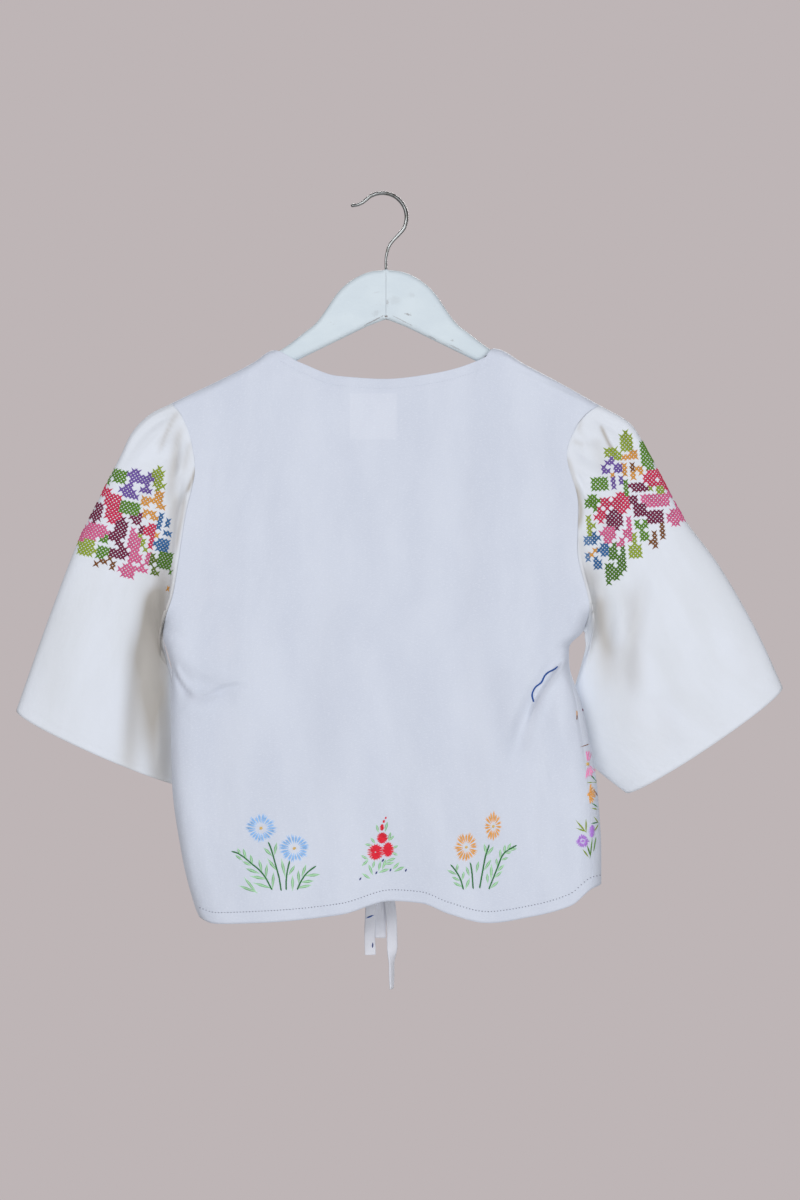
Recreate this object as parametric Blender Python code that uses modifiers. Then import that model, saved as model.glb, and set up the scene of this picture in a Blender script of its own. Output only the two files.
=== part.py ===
# A cropped blouse with short gathered sleeves and a tie front, hanging on a wooden hanger.
# Metres, +Z up. The origin is the inner top of the hanger's hook, where a rail carries it.
# The back of the blouse faces -Y and its front +Y, so its left side is at -X and its right at +X.

import math

import bmesh
import bpy
import numpy as np

COLLECTION = "cropped_blouse"

# Cloth
CLOTH = 0.0012  # wall of a panel
BAND_CLOTH = 0.001  # wall of the facing and the label
TIE_CLOTH = 0.0016  # a tie is the cloth folded double
SEAM_GAP = 0.0003
BACK = -1
FRONT = 1

# Body: heights of the corners
LEFT_HEM_Z = -0.7205
LEFT_ARMPIT_Z = -0.441
LEFT_TIP_Z = -0.208
RIGHT_HEM_Z = -0.691
RIGHT_ARMPIT_Z = -0.436
RIGHT_TIP_Z = -0.210
LEFT_NECK_X = -0.113
RIGHT_NECK_X = 0.108
LEFT_NECK_Z = -0.1555
RIGHT_NECK_Z = -0.1535
SHOULDER_SLOPE = 0.5
NECK_SLOPE = 0.72  # slope of the hanger's arm where it leaves the neck
SHOULDER_ROLL = 0.009  # radius of the cloth over the hanger's arm
ARMPIT_RISE = 0.030  # height over which a side seam opens into the armhole
ARMPIT_GAP = 0.0011  # where four pieces meet in the armpit
FRONT_HEM_LIFT = 0.004

# Rows and columns of the panels
SIDE_ROWS = 10
ARMHOLE_STEPS = (1, 0.97, 0.93, 0.87, 0.78, 0.68, 0.57, 0.46, 0.36, 0.27, 0.19, 0.12, 0.08,
                 0.047, 0.029, 0.0135, 0.004, 0.0003, 0)  # from the armpit up to the shoulder tip
CAP_STEPS = (0.32, 0.225, 0.155, 0.1, 0.064)  # steps that the sleeve adds between those
ARMHOLE_SHARE = 0.5
BAND_STEPS = (0, 0.02, 0.27, 0.52, 0.76, 1)  # the first step is short, so that two rims at a seam lie flat
WRAP_STEPS = (0, 0.012, 0.2, 0.4, 0.6, 0.8, 1)
SHOULDER_COLUMNS = 4
NECK_STEPS = (0, 0.008, 0.025, 0.05, 0.09, 0.16, 0.26, 0.38, 0.5)  # half of the neckline, then mirrored
FRONT_COLUMNS = 9

# Sleeves
SLEEVE_STEPS = (0.05, 0.1, 0.16, 0.23, 0.31, 0.4, 0.5, 0.61, 0.73, 0.86, 1)
SEAM_BAND = 0.003  # the first strip of a sleeve runs on from the panel's edge
SLEEVE_FULLNESS = 0.85
ARMHOLE_FADE = 0.4  # share of the sleeve's length that still shows the armhole's curve
HEM_BOW = 0.009  # how far the middle of a sleeve's hem hangs below its corners

# Hanger
WOOD_HALF = 0.00575
WOOD_ROUND = 0.0045
WIRE_RADIUS = 0.0019
HOOK_CENTRE_X = -0.0036
HOOK_CENTRE_Z = -0.0241
HOOK_RADIUS = 0.0241

# Tie
TIE_WIDTH = 0.011
KNOT_CENTRE = (-0.006, 0.0370, -0.690)
KNOT_SIZE = (0.026, 0.016, 0.018)
KNOT_BEVEL = 0.004


def table(columns, *rows):
    """A table with named columns, kept in rising order of its first one."""
    values = np.array(sorted(rows), dtype=float).T
    return dict(zip(columns.split(), values))


# Side seam and armhole edges of the body, seen square on
LEFT_EDGE = table(
    "z x",
    (-0.7205, -0.187),
    (-0.711, -0.191),
    (-0.660, -0.204),
    (-0.585, -0.214),
    (-0.525, -0.215),
    (-0.477, -0.214),
    (-0.459, -0.218),
    (-0.441, -0.223),
    (-0.399, -0.211),
    (-0.321, -0.199),
    (-0.273, -0.190),
    (-0.246, -0.194),
    (-0.222, -0.203),
    (-0.208, -0.214),
)
RIGHT_EDGE = table(
    "z x",
    (-0.691, 0.205),
    (-0.660, 0.205),
    (-0.604, 0.202),
    (-0.551, 0.196),
    (-0.510, 0.190),
    (-0.470, 0.182),
    (-0.452, 0.183),
    (-0.436, 0.197),
    (-0.416, 0.202),
    (-0.354, 0.190),
    (-0.310, 0.191),
    (-0.260, 0.180),
    (-0.233, 0.189),
    (-0.219, 0.200),
    (-0.210, 0.213),
)
# How far the right side seam has swung round to the back, in degrees from the side
RIGHT_WRAP = table(
    "z degrees",
    (-0.720, 50),
    (-0.600, 50),
    (-0.510, 36),
    (-0.460, 12),
    (-0.440, 0),
)
HALF_DEPTH = table(
    "z depth",
    (-0.730, 0.029),
    (-0.600, 0.028),
    (-0.440, 0.025),
    (-0.330, 0.018),
    (-0.260, 0.012),
    (-0.225, 0.009),
    (-0.150, 0.009),
)
HEM = table(
    "x z",
    (-0.187, -0.7205),
    (-0.170, -0.7255),
    (-0.114, -0.7235),
    (-0.045, -0.7165),
    (0.006, -0.7030),
    (0.035, -0.7050),
    (0.063, -0.7155),
    (0.101, -0.7245),
    (0.145, -0.7185),
    (0.183, -0.7075),
    (0.205, -0.6910),
    (0.216, -0.6880),
)
# Shoulder seams and the back's neckline
TOP = table(
    "x z",
    (-0.214, -0.2080),
    (-0.188, -0.1955),
    (-0.156, -0.1800),
    (-0.131, -0.1665),
    (-0.113, -0.1555),
    (-0.086, -0.1680),
    (-0.048, -0.1815),
    (0.000, -0.1845),
    (0.045, -0.1795),
    (0.096, -0.1645),
    (0.108, -0.1535),
    (0.140, -0.1700),
    (0.175, -0.1885),
    (0.213, -0.2100),
)
# Half width of the V neck between the two fronts
V_NECK = table(
    "z x",
    (-0.385, 0.0),
    (-0.345, 0.026),
    (-0.280, 0.060),
    (-0.210, 0.091),
    (-0.1545, 0.110),
)

# Largest folds of the body: a line from a top point to a bottom point, outward if depth is positive
BACK_FOLDS = table(
    "x_top z_top x_bottom z_bottom width depth",
    (-0.185, -0.300, -0.181, -0.730, 0.026, -0.0025),
    (-0.130, -0.380, -0.116, -0.730, 0.030, 0.0030),
    (0.000, -0.420, 0.000, -0.730, 0.034, -0.0030),
    (0.055, -0.480, 0.068, -0.730, 0.026, 0.0030),
    (0.150, -0.300, 0.146, -0.730, 0.028, -0.0030),
    (0.178, -0.462, 0.131, -0.558, 0.013, -0.0045),
    (0.160, -0.445, 0.118, -0.530, 0.016, 0.0035),
    (-0.222, -0.468, -0.166, -0.496, 0.010, -0.0030),
)
FRONT_FOLDS = table(
    "x_top z_top x_bottom z_bottom width depth",
    (-0.150, -0.400, -0.020, -0.690, 0.020, 0.0035),
    (-0.180, -0.560, -0.030, -0.700, 0.018, -0.0035),
    (0.140, -0.380, 0.015, -0.685, 0.020, 0.0035),
    (0.185, -0.540, 0.025, -0.700, 0.018, -0.0035),
    (-0.060, -0.480, -0.012, -0.680, 0.012, -0.0030),
    (0.060, -0.470, 0.008, -0.680, 0.012, -0.0030),
)

# A sleeve's two silhouette lines; y is the middle between its layers, so it swings forward as it falls
SLEEVE_OUTER = {
    -1: table(
        "share x y z",
        (0.00, -0.214, 0.000, -0.208),
        (0.07, -0.236, 0.001, -0.219),
        (0.14, -0.254, 0.002, -0.237),
        (0.22, -0.266, 0.003, -0.261),
        (0.35, -0.287, 0.004, -0.303),
        (0.49, -0.308, 0.006, -0.345),
        (0.70, -0.335, 0.008, -0.414),
        (1.00, -0.371, 0.010, -0.515),
    ),
    1: table(
        "share x y z",
        (0.00, 0.213, 0.000, -0.210),
        (0.11, 0.245, 0.001, -0.229),
        (0.22, 0.264, 0.003, -0.260),
        (0.43, 0.298, 0.005, -0.322),
        (0.60, 0.333, 0.007, -0.369),
        (0.83, 0.373, 0.009, -0.438),
        (1.00, 0.398, 0.010, -0.492),
    ),
}
SLEEVE_INNER = {
    -1: table(
        "share x y z",
        (0.00, -0.223, 0.000, -0.441),
        (0.08, -0.227, 0.007, -0.453),
        (0.20, -0.225, 0.026, -0.472),
        (0.35, -0.211, 0.038, -0.495),
        (0.55, -0.203, 0.043, -0.526),
        (0.78, -0.199, 0.044, -0.560),
        (1.00, -0.198, 0.044, -0.593),
    ),
    1: table(
        "share x y z",
        (0.00, 0.197, 0.000, -0.436),
        (0.10, 0.200, 0.005, -0.450),
        (0.22, 0.197, 0.018, -0.468),
        (0.40, 0.190, 0.031, -0.496),
        (0.60, 0.186, 0.038, -0.526),
        (0.78, 0.190, 0.040, -0.552),
        (0.90, 0.213, 0.038, -0.576),
        (1.00, 0.242, 0.034, -0.599),
    ),
}
SLEEVE_DEPTH = table(
    "share depth",
    (0.0, 0.018),
    (0.3, 0.023),
    (0.6, 0.025),
    (1.0, 0.022),
)
# Gathers round the cap: angle from the shoulder tip, negative on the back
GATHERS = table(
    "angle width depth length",
    (-1.30, 0.12, -0.0035, 0.40),
    (-1.06, 0.10, 0.0030, 0.30),
    (-0.84, 0.10, -0.0030, 0.36),
    (-0.60, 0.11, 0.0035, 0.26),
    (-0.36, 0.09, -0.0025, 0.30),
    (0.34, 0.10, -0.0025, 0.28),
    (0.58, 0.11, 0.0032, 0.32),
    (0.83, 0.10, -0.0030, 0.30),
    (1.08, 0.11, 0.0030, 0.36),
    (1.32, 0.12, -0.0032, 0.34),
)

# Top and bottom edges of one arm of the hanger, from the joint in its middle out
WOOD_TOP = (
    (0.000, -0.0750),
    (0.015, -0.0765),
    (0.028, -0.0815),
    (0.040, -0.0895),
    (0.050, -0.1000),
    (0.064, -0.1205),
    (0.072, -0.1300),
    (0.083, -0.1385),
    (0.095, -0.1480),
    (0.104, -0.1542),
    (0.113, -0.1592),
    (0.131, -0.1693),
    (0.156, -0.1824),
    (0.180, -0.1942),
    (0.198, -0.2040),
)
WOOD_BOTTOM = (
    (0.205, -0.2125),
    (0.2035, -0.2190),
    (0.197, -0.2185),
    (0.091, -0.1665),
    (0.020, -0.1318),
    (0.000, -0.1240),
)
WOOD_JOINT_GAP = 0.00015

# The tie's two hanging ends, and the two loops of its bow
TIE_ENDS = {
    "tie_end_left": table(
        "share x y z turn",
        (0.0, -0.013, 0.0320, -0.6993, 0),
        (0.3, -0.0155, 0.0320, -0.718, 4),
        (0.7, -0.0165, 0.0325, -0.744, 10),
        (1.0, -0.0160, 0.0330, -0.7645, 6),
    ),
    "tie_end_right": table(
        "share x y z turn",
        (0.0, 0.0025, 0.0320, -0.6993, 0),
        (0.3, 0.0055, 0.0325, -0.730, 10),
        (0.6, 0.0065, 0.0340, -0.757, 25),
        (0.78, 0.0066, 0.0350, -0.774, 62),
        (1.0, 0.0068, 0.0355, -0.799, 76),
    ),
}
TIE_END_STEPS = 9
# Each loop leaves the knot, turns at its far end and comes back in front of itself
TIE_LOOPS = {
    "tie_loop_left": {"start": (-0.0055, -0.6993), "end": (-0.0060, -0.7480), "depth": (0.0357, 0.0417)},
    "tie_loop_right": {"start": (0.0090, -0.6870), "end": (0.0480, -0.6965), "depth": (0.0335, 0.0410)},
}
LOOP_RUN_STEPS = 4
LOOP_TURN_STEPS = 5

# Label and facing
LABEL_LEFT_X = -0.036
LABEL_RIGHT_X = 0.011
LABEL_TOP_Z = -0.199
LABEL_BOTTOM_Z = -0.245
LABEL_STEPS = 4
FACING_HALF_WIDTH = 0.086
FACING_STEPS = 12
FACING_TOP_INSET = 0.0008
FACING_DROP = 0.010


def read(rows, column, at):
    """A column of a table at a place along its first column, on a smooth curve that never overshoots."""
    keys = next(iter(rows.values()))
    values = rows[column]
    spans = np.diff(keys)
    rates = np.diff(values) / spans
    before, after = rates[:-1], rates[1:]
    same_way = before * after > 0
    total = np.where(same_way, before + after, 1)
    middle = np.where(same_way, 2 * before * after / total, 0)
    slopes = np.concatenate([rates[:1], middle, rates[-1:]])
    at = np.clip(at, keys[0], keys[-1])
    index = np.clip(np.searchsorted(keys, at, side="right") - 1, 0, len(spans) - 1)
    span = spans[index]
    share = (at - keys[index]) / span
    rest = 1 - share
    return (
        values[index] * rest * rest * (1 + 2 * share)
        + values[index + 1] * share * share * (3 - 2 * share)
        + span * share * rest * (slopes[index] * rest - slopes[index + 1] * share)
    )


def blend(low, high, share):
    return low + (high - low) * share


def smooth(value):
    value = np.clip(value, 0, 1)
    return value * value * (3 - 2 * value)


def fold_height(folds, x, z):
    """Height of a table of folds at a place on a panel: soft ridges and troughs along straight lines."""
    height = np.zeros(np.broadcast(x, z).shape)
    for x_top, z_top, x_bottom, z_bottom, width, depth in zip(*folds.values()):
        run_x = x_bottom - x_top
        run_z = z_bottom - z_top
        length = math.hypot(run_x, run_z)
        along = ((x - x_top) * run_x + (z - z_top) * run_z) / length**2
        across = ((x - x_top) * run_z - (z - z_top) * run_x) / length
        ends = smooth(along / 0.3) * smooth((1.35 - along) / 0.35)
        height = height + depth * ends * np.exp(-((across / width) ** 2))
    return height


def edge(side, row):
    """Seam or armhole edge of the body on one side: x, z, and how far the side has opened into the armhole."""
    if side < 0:
        hem, armpit, tip, rows = LEFT_HEM_Z, LEFT_ARMPIT_Z, LEFT_TIP_Z, LEFT_EDGE
    else:
        hem, armpit, tip, rows = RIGHT_HEM_Z, RIGHT_ARMPIT_Z, RIGHT_TIP_Z, RIGHT_EDGE
    side_share = np.clip(row / (1 - ARMHOLE_SHARE), 0, 1)
    armhole_share = np.clip((row - 1 + ARMHOLE_SHARE) / ARMHOLE_SHARE, 0, 1)
    z = hem + (armpit - hem) * side_share + (tip - armpit) * armhole_share
    opened = smooth((z - armpit) / ARMPIT_RISE)
    return read(rows, "x", z), z, opened


def side_band(side, face, share, row):
    """x and depth share of the strip that rolls round a side; share is 0 at the seam and 1 where it lies flat."""
    x_edge, z_edge, opened = edge(side, row)
    roll = read(HALF_DEPTH, "depth", z_edge)
    wrap = np.radians(read(RIGHT_WRAP, "degrees", z_edge)) if side > 0 else np.zeros_like(z_edge)
    first = -face * wrap + SEAM_GAP / 2 / roll
    angle = blend(first, math.pi / 2, share)
    rolled_x = x_edge - side * roll * (np.cos(wrap) - np.cos(angle))
    flat_x = x_edge - side * roll * share
    return blend(rolled_x, flat_x, opened), blend(np.sin(angle), 1, opened)


def shoulder_depth(x, z):
    """Share of the full depth near the shoulder line, where the cloth turns over the hanger's arms."""
    on_seam = read(TOP, "z", x)
    inward = np.maximum(np.minimum(x - LEFT_NECK_X, RIGHT_NECK_X - x), 0)
    neck_z = np.where(x < 0, LEFT_NECK_Z, RIGHT_NECK_Z)
    line = np.where(inward > 0, neck_z + NECK_SLOPE * inward, on_seam)
    below = (line - z) / math.hypot(1, SHOULDER_SLOPE)
    turn = np.clip(below / SHOULDER_ROLL, 0, 1)
    return np.sqrt(1 - (1 - turn) ** 2)


def lifted(x, z, depth_share, face, folds):
    """Outer face of a panel at x and z."""
    shoulder = shoulder_depth(x, z)
    depth = read(HALF_DEPTH, "depth", z) * depth_share * shoulder
    depth = np.where(depth_share > 0, np.maximum(depth, SEAM_GAP / 2), depth)
    settled = smooth((depth_share - 0.6) / 0.4) * smooth(shoulder * 2 - 1)
    y = face * (depth + settled * fold_height(folds, x, z))
    return np.stack([x, y, z], axis=-1)


def row_share(row):
    """Share of the way from the hem to the top edge."""
    _, left_z, _ = edge(-1, row)
    _, right_z, _ = edge(1, row)
    left = (left_z - LEFT_HEM_Z) / (LEFT_TIP_Z - LEFT_HEM_Z)
    right = (right_z - RIGHT_HEM_Z) / (RIGHT_TIP_Z - RIGHT_HEM_Z)
    return (left + right) / 2


def back_x(band_left, flat, band_right, row):
    left_x, left_depth = side_band(-1, BACK, band_left, row)
    right_x, right_depth = side_band(1, BACK, band_right, row)
    x = np.where(band_left < 1, left_x, np.where(band_right < 1, right_x, blend(left_x, right_x, flat)))
    depth = np.where(band_left < 1, left_depth, np.where(band_right < 1, right_depth, 1))
    return x, depth


def back_points(band_left, flat, band_right, row):
    """Outer face of the back. A column is in the left band, the flat part or the right band."""
    x, depth = back_x(band_left, flat, band_right, row)
    x_hem, _ = back_x(band_left, flat, band_right, np.zeros_like(row))
    x_top, _ = back_x(band_left, flat, band_right, np.ones_like(row))
    left_x, left_z, _ = edge(-1, row)
    right_x, right_z, _ = edge(1, row)
    across = (x - left_x) / (right_x - left_x)
    share = row_share(row)
    hem_extra = read(HEM, "z", x_hem) - blend(LEFT_HEM_Z, RIGHT_HEM_Z, across)
    top_extra = read(TOP, "z", x_top) - blend(LEFT_TIP_Z, RIGHT_TIP_Z, across)
    z = blend(left_z, right_z, across) + (1 - share) * hem_extra + share * top_extra
    return lifted(x, z, depth, BACK, BACK_FOLDS)


def front_x(side, band, flat, row):
    band_x, depth = side_band(side, FRONT, band, row)
    share = row_share(row)
    neck_x, neck_z = (-LEFT_NECK_X, LEFT_NECK_Z) if side < 0 else (RIGHT_NECK_X, RIGHT_NECK_Z)
    inner_z = blend(read(HEM, "z", 0.0), neck_z, share)
    widening = neck_x / V_NECK["x"][-1]
    inner_x = side * (SEAM_GAP / 2 + widening * read(V_NECK, "x", inner_z))
    x = np.where(band < 1, band_x, blend(band_x, inner_x, flat))
    return x, np.where(band < 1, depth, 1), inner_x, inner_z


def front_points(side, band, flat, row):
    """Outer face of one front, from its side seam in to the centre front and the V neck."""
    x, depth, inner_x, inner_z = front_x(side, band, flat, row)
    x_hem = front_x(side, band, flat, np.zeros_like(row))[0]
    x_top = front_x(side, band, flat, np.ones_like(row))[0]
    edge_x, edge_z, _ = edge(side, row)
    across = (x - edge_x) / (inner_x - edge_x)
    share = row_share(row)
    if side < 0:
        hem_z, tip_z, neck_z = LEFT_HEM_Z, LEFT_TIP_Z, LEFT_NECK_Z
    else:
        hem_z, tip_z, neck_z = RIGHT_HEM_Z, RIGHT_TIP_Z, RIGHT_NECK_Z
    lift = FRONT_HEM_LIFT * smooth(across * 4)
    hem_extra = read(HEM, "z", x_hem) + lift - blend(hem_z, read(HEM, "z", 0.0), across)
    top_extra = read(TOP, "z", x_top) - blend(tip_z, neck_z, across)
    z = blend(edge_z, inner_z, across) + (1 - share) * hem_extra + share * top_extra
    return lifted(x, z, depth, FRONT, FRONT_FOLDS)


def panel_rows():
    side = np.linspace(0, 1 - ARMHOLE_SHARE, SIDE_ROWS + 1)[:-1]
    armhole = 1 - ARMHOLE_SHARE * np.array(ARMHOLE_STEPS)
    return np.concatenate([side, armhole])


def back_columns():
    """Columns of the back as shares along its left band, flat part and right band."""
    band = np.array(BAND_STEPS)
    bands = len(band) - 1
    half = np.array(NECK_STEPS)
    neck = np.concatenate([half[:-1], 1 - half[::-1]])
    top = np.ones(1)
    left_x, right_x = (side_band(side, BACK, top, top)[0][0] for side in (-1, 1))
    left_neck = (LEFT_NECK_X - left_x) / (right_x - left_x)
    right_neck = (RIGHT_NECK_X - left_x) / (right_x - left_x)
    flat = np.concatenate([
        np.linspace(0, left_neck, SHOULDER_COLUMNS + 1)[:-1],
        blend(left_neck, right_neck, neck[:-1]),
        np.linspace(right_neck, 1, SHOULDER_COLUMNS + 1),
    ])
    count = len(flat)
    return (
        np.concatenate([band[:-1], np.ones(count + bands)]),
        np.concatenate([np.zeros(bands), flat, np.ones(bands)]),
        np.concatenate([np.ones(bands + count), band[::-1][1:]]),
    )


def front_columns(side):
    steps = BAND_STEPS if side < 0 else WRAP_STEPS
    band = np.concatenate([steps[:-1], np.ones(FRONT_COLUMNS + 1)])
    flat = np.concatenate([np.zeros(len(steps) - 1), np.linspace(0, 1, FRONT_COLUMNS + 1)])
    return band, flat


def back_grid():
    row, _ = np.meshgrid(panel_rows(), back_columns()[0], indexing="ij")
    columns = [np.broadcast_to(column, row.shape) for column in back_columns()]
    return back_points(*columns, row)


def front_grid(side):
    row, _ = np.meshgrid(panel_rows(), front_columns(side)[0], indexing="ij")
    columns = [np.broadcast_to(column, row.shape) for column in front_columns(side)]
    return front_points(side, *columns, row)


def armhole_edge(side, face):
    """The panel's own edge points round one face of the armhole, from the shoulder tip to the armpit."""
    grid = back_grid() if face == BACK else front_grid(side)
    column = -1 if face == BACK and side > 0 else 0
    return grid[SIDE_ROWS:, column][::-1]


def ring_steps():
    """Places of a sleeve's points down the armhole: the panels' own, with more between them round the cap."""
    return np.array(sorted(set(ARMHOLE_STEPS) | set(CAP_STEPS)))


def seam_direction(side, points):
    """Unit direction in which a sleeve leaves the armhole at each of its points."""
    along = np.gradient(points[:, [0, 2]], axis=0)
    normal = np.stack([-along[:, 1], np.zeros(len(points)), along[:, 0]], axis=-1) * side
    normal = normal / np.linalg.norm(normal, axis=1, keepdims=True)
    slope = np.array([side, 0, -SHOULDER_SLOPE]) / math.hypot(1, SHOULDER_SLOPE)
    under = np.array([side, 0, -1.0]) / math.sqrt(2)
    down = points[0, 2] - points[:, 2]
    up = points[:, 2] - points[-1, 2]
    normal = blend(slope, normal, smooth(down / (3 * SHOULDER_ROLL))[:, None])
    normal = blend(under, normal, smooth(up / ARMPIT_RISE)[:, None])
    return normal / np.linalg.norm(normal, axis=1, keepdims=True)


def chord_point(side, face, share, down):
    """Flattened ring of a sleeve at a share of its length; down is 0 at its outer line and 1 at its inner one."""
    outer, inner = SLEEVE_OUTER[side], SLEEVE_INNER[side]
    turned = (2 * np.sqrt(np.clip(down * (1 - down), 0, 1))) ** SLEEVE_FULLNESS
    x, y, z = (blend(read(outer, axis, share), read(inner, axis, share), down) for axis in "xyz")
    y = y + face * turned * read(SLEEVE_DEPTH, "depth", share)
    z = z - HEM_BOW * smooth(share) * turned
    return np.stack([x, y, z], axis=-1)


def gather_height(face, share, down):
    angle = face * np.arccos(1 - 2 * down)
    height = np.zeros(np.broadcast(share, down).shape)
    for centre, width, depth, length in zip(*GATHERS.values()):
        along = smooth(share / 0.05) * smooth(1 - share / length)
        height = height + depth * along * np.exp(-(((angle - centre) / width) ** 2))
    return height


def sleeve_half(side, face):
    """Rows of points down one face of a sleeve, from the armhole seam to its hem."""
    down = ring_steps()
    panel = armhole_edge(side, face)
    panel_steps = np.array(ARMHOLE_STEPS[::-1], dtype=float)
    seam = np.stack([np.interp(down, panel_steps, panel[:, axis]) for axis in range(3)], axis=-1)
    away = seam_direction(side, seam)
    above = smooth((seam[:, 2:] - seam[-1, 2]) / ARMPIT_RISE)
    rows = [seam + away * blend(ARMPIT_GAP, SEAM_GAP, above), seam + away * SEAM_BAND]
    start = chord_point(side, face, np.zeros_like(down), down)
    for step in SLEEVE_STEPS:
        share = np.full_like(down, step)
        settled = smooth(share / ARMHOLE_FADE)[:, None]
        points = chord_point(side, face, share, down) + (1 - settled) * (seam - start)
        outward = np.zeros_like(points)
        outward[:, 1] = face
        outward[:, 0] = side * np.clip(1 - 4 * down, 0, 1)
        outward = outward / np.linalg.norm(outward, axis=1, keepdims=True)
        rows.append(points + outward * gather_height(face, share, down)[:, None])
    return np.array(rows)


def sleeve_grid(side):
    back = sleeve_half(side, BACK)
    front = sleeve_half(side, FRONT)
    middle = (back + front) / 2
    return np.concatenate([middle[:, :1], back[:, 1:-1], middle[:, -1:], front[:, -2:0:-1]], axis=1)


def facing_grid():
    """A strip inside the back's neckline, made from the panel's own form and moved in."""
    x = np.linspace(-FACING_HALF_WIDTH, FACING_HALF_WIDTH, FACING_STEPS + 1)
    drop = np.array([FACING_TOP_INSET, FACING_DROP])
    z = read(TOP, "z", x)[None, :] - drop[::-1, None]
    return moved_in(np.broadcast_to(x, z.shape), z)


def label_grid():
    x = np.linspace(LABEL_LEFT_X, LABEL_RIGHT_X, LABEL_STEPS + 1)
    z = np.linspace(LABEL_BOTTOM_Z, LABEL_TOP_Z, LABEL_STEPS + 1)
    return moved_in(*np.meshgrid(x, z))


def moved_in(x, z):
    points = lifted(x, z, np.ones_like(x), BACK, BACK_FOLDS)
    points[..., 1] += CLOTH + SEAM_GAP
    return points


def tie_end_grid(rows):
    """A flat tie that hangs from the knot and turns as it falls."""
    share = np.linspace(0, 1, TIE_END_STEPS + 1)
    middle = np.stack([read(rows, axis, share) for axis in "xyz"], axis=-1)
    turn = np.radians(read(rows, "turn", share))
    half = np.stack([np.cos(turn), np.sin(turn), np.zeros_like(turn)], axis=-1) * TIE_WIDTH / 2
    return np.stack([middle + half, middle - half], axis=1)


def tie_loop_grid(start, end, depth):
    """A loop of the bow: out from the knot, round at its far end and back in front of itself."""
    near, far = depth
    radius = (far - near) / 2
    length = math.hypot(end[0] - start[0], end[1] - start[1]) - radius
    run = np.linspace(0, length, LOOP_RUN_STEPS + 1)[:-1]
    turn = np.linspace(-math.pi / 2, math.pi / 2, LOOP_TURN_STEPS + 1)
    out = np.concatenate([run, length + radius * np.cos(turn), run[::-1]])
    y = np.concatenate([np.full(LOOP_RUN_STEPS, near), (near + far) / 2 + radius * np.sin(turn),
                        np.full(LOOP_RUN_STEPS, far)])
    run_x, run_z = np.subtract(end, start) / math.hypot(end[0] - start[0], end[1] - start[1])
    middle = np.stack([start[0] + out * run_x, y, start[1] + out * run_z], axis=-1)
    half = np.array([-run_z, 0, run_x]) * TIE_WIDTH / 2
    return np.stack([middle + half, middle - half], axis=1)


def material(name, colour, roughness, metallic=0.0):
    made = bpy.data.materials.new(name)
    made.use_nodes = True
    made.diffuse_color = (*colour, 1)
    shader = made.node_tree.nodes["Principled BSDF"]
    shader.inputs["Base Color"].default_value = (*colour, 1)
    shader.inputs["Roughness"].default_value = roughness
    shader.inputs["Metallic"].default_value = metallic
    return made


def placed(obj, finish, collection):
    obj.data.materials.clear()
    obj.data.materials.append(finish)
    for holder in obj.users_collection:
        holder.objects.unlink(obj)
    collection.objects.link(obj)
    return obj


def cloth(name, grid, thickness, finish, collection, closed=False):
    """A wall of cloth on a grid of outer points, in rows of equal length."""
    rows, columns = grid.shape[:2]
    mesh = bpy.data.meshes.new(name)
    shell = bmesh.new()
    points = [shell.verts.new(point) for point in grid.reshape(-1, 3)]
    for row in range(rows - 1):
        for column in range(columns if closed else columns - 1):
            beside = (column + 1) % columns
            corners = ((row, column), (row, beside), (row + 1, beside), (row + 1, column))
            shell.faces.new([points[r * columns + c] for r, c in corners])
    shell.to_mesh(mesh)
    shell.free()
    mesh.shade_smooth()
    piece = bpy.data.objects.new(name, mesh)
    wall = piece.modifiers.new("wall", "SOLIDIFY")
    wall.thickness = thickness
    wall.offset = -1
    collection.objects.link(piece)
    return placed(piece, finish, collection)


def wood_arm(side, finish, collection):
    """Half of the hanger's wooden body, with rounded edges."""
    outline = [(side * max(x, WOOD_JOINT_GAP), z) for x, z in WOOD_TOP + WOOD_BOTTOM]
    name = "hanger_arm_left" if side < 0 else "hanger_arm_right"
    curve = bpy.data.curves.new(name, "CURVE")
    curve.dimensions = "2D"
    curve.fill_mode = "BOTH"
    spline = curve.splines.new("POLY")
    spline.points.add(len(outline) - 1)
    for point, (x, z) in zip(spline.points, outline):
        point.co = (x, z, 0, 1)
    spline.use_cyclic_u = True
    curve.extrude = WOOD_HALF
    arm = bpy.data.objects.new(name, curve)
    arm.rotation_euler = (math.pi / 2, 0, 0)
    weld = arm.modifiers.new("weld", "WELD")
    weld.merge_threshold = 0.00001
    rounded = arm.modifiers.new("rounded", "BEVEL")
    rounded.width = WOOD_ROUND
    rounded.segments = 3
    rounded.angle_limit = math.radians(60)
    collection.objects.link(arm)
    return placed(arm, finish, collection)


def hook(finish, collection):
    """A wire hook: a turned-up tip, a round top and a swan neck down into the wood."""
    bend = [math.radians(angle) for angle in range(120, -31, -15)]
    top = [(HOOK_CENTRE_X + HOOK_RADIUS * math.cos(a), HOOK_CENTRE_Z + HOOK_RADIUS * math.sin(a) + WIRE_RADIUS)
           for a in bend]
    tip = [(-0.0335, -0.0105), (-0.0290, -0.0100), (-0.0242, -0.0080), (-0.0200, -0.0048)]
    neck = [(0.0118, -0.0405), (0.0068, -0.0458), (0.0032, -0.0510), (0.0012, -0.0570), (0.0, -0.0640),
            (0.0, WOOD_TOP[0][1] + SEAM_GAP)]
    route = tip + top + neck
    curve = bpy.data.curves.new("hanger_hook", "CURVE")
    curve.dimensions = "3D"
    spline = curve.splines.new("POLY")
    spline.points.add(len(route) - 1)
    for point, (x, z) in zip(spline.points, route):
        point.co = (x, 0, z, 1)
    curve.bevel_depth = WIRE_RADIUS
    curve.bevel_resolution = 2
    curve.use_fill_caps = True
    wire = bpy.data.objects.new("hanger_hook", curve)
    collection.objects.link(wire)
    return placed(wire, finish, collection)


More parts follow.
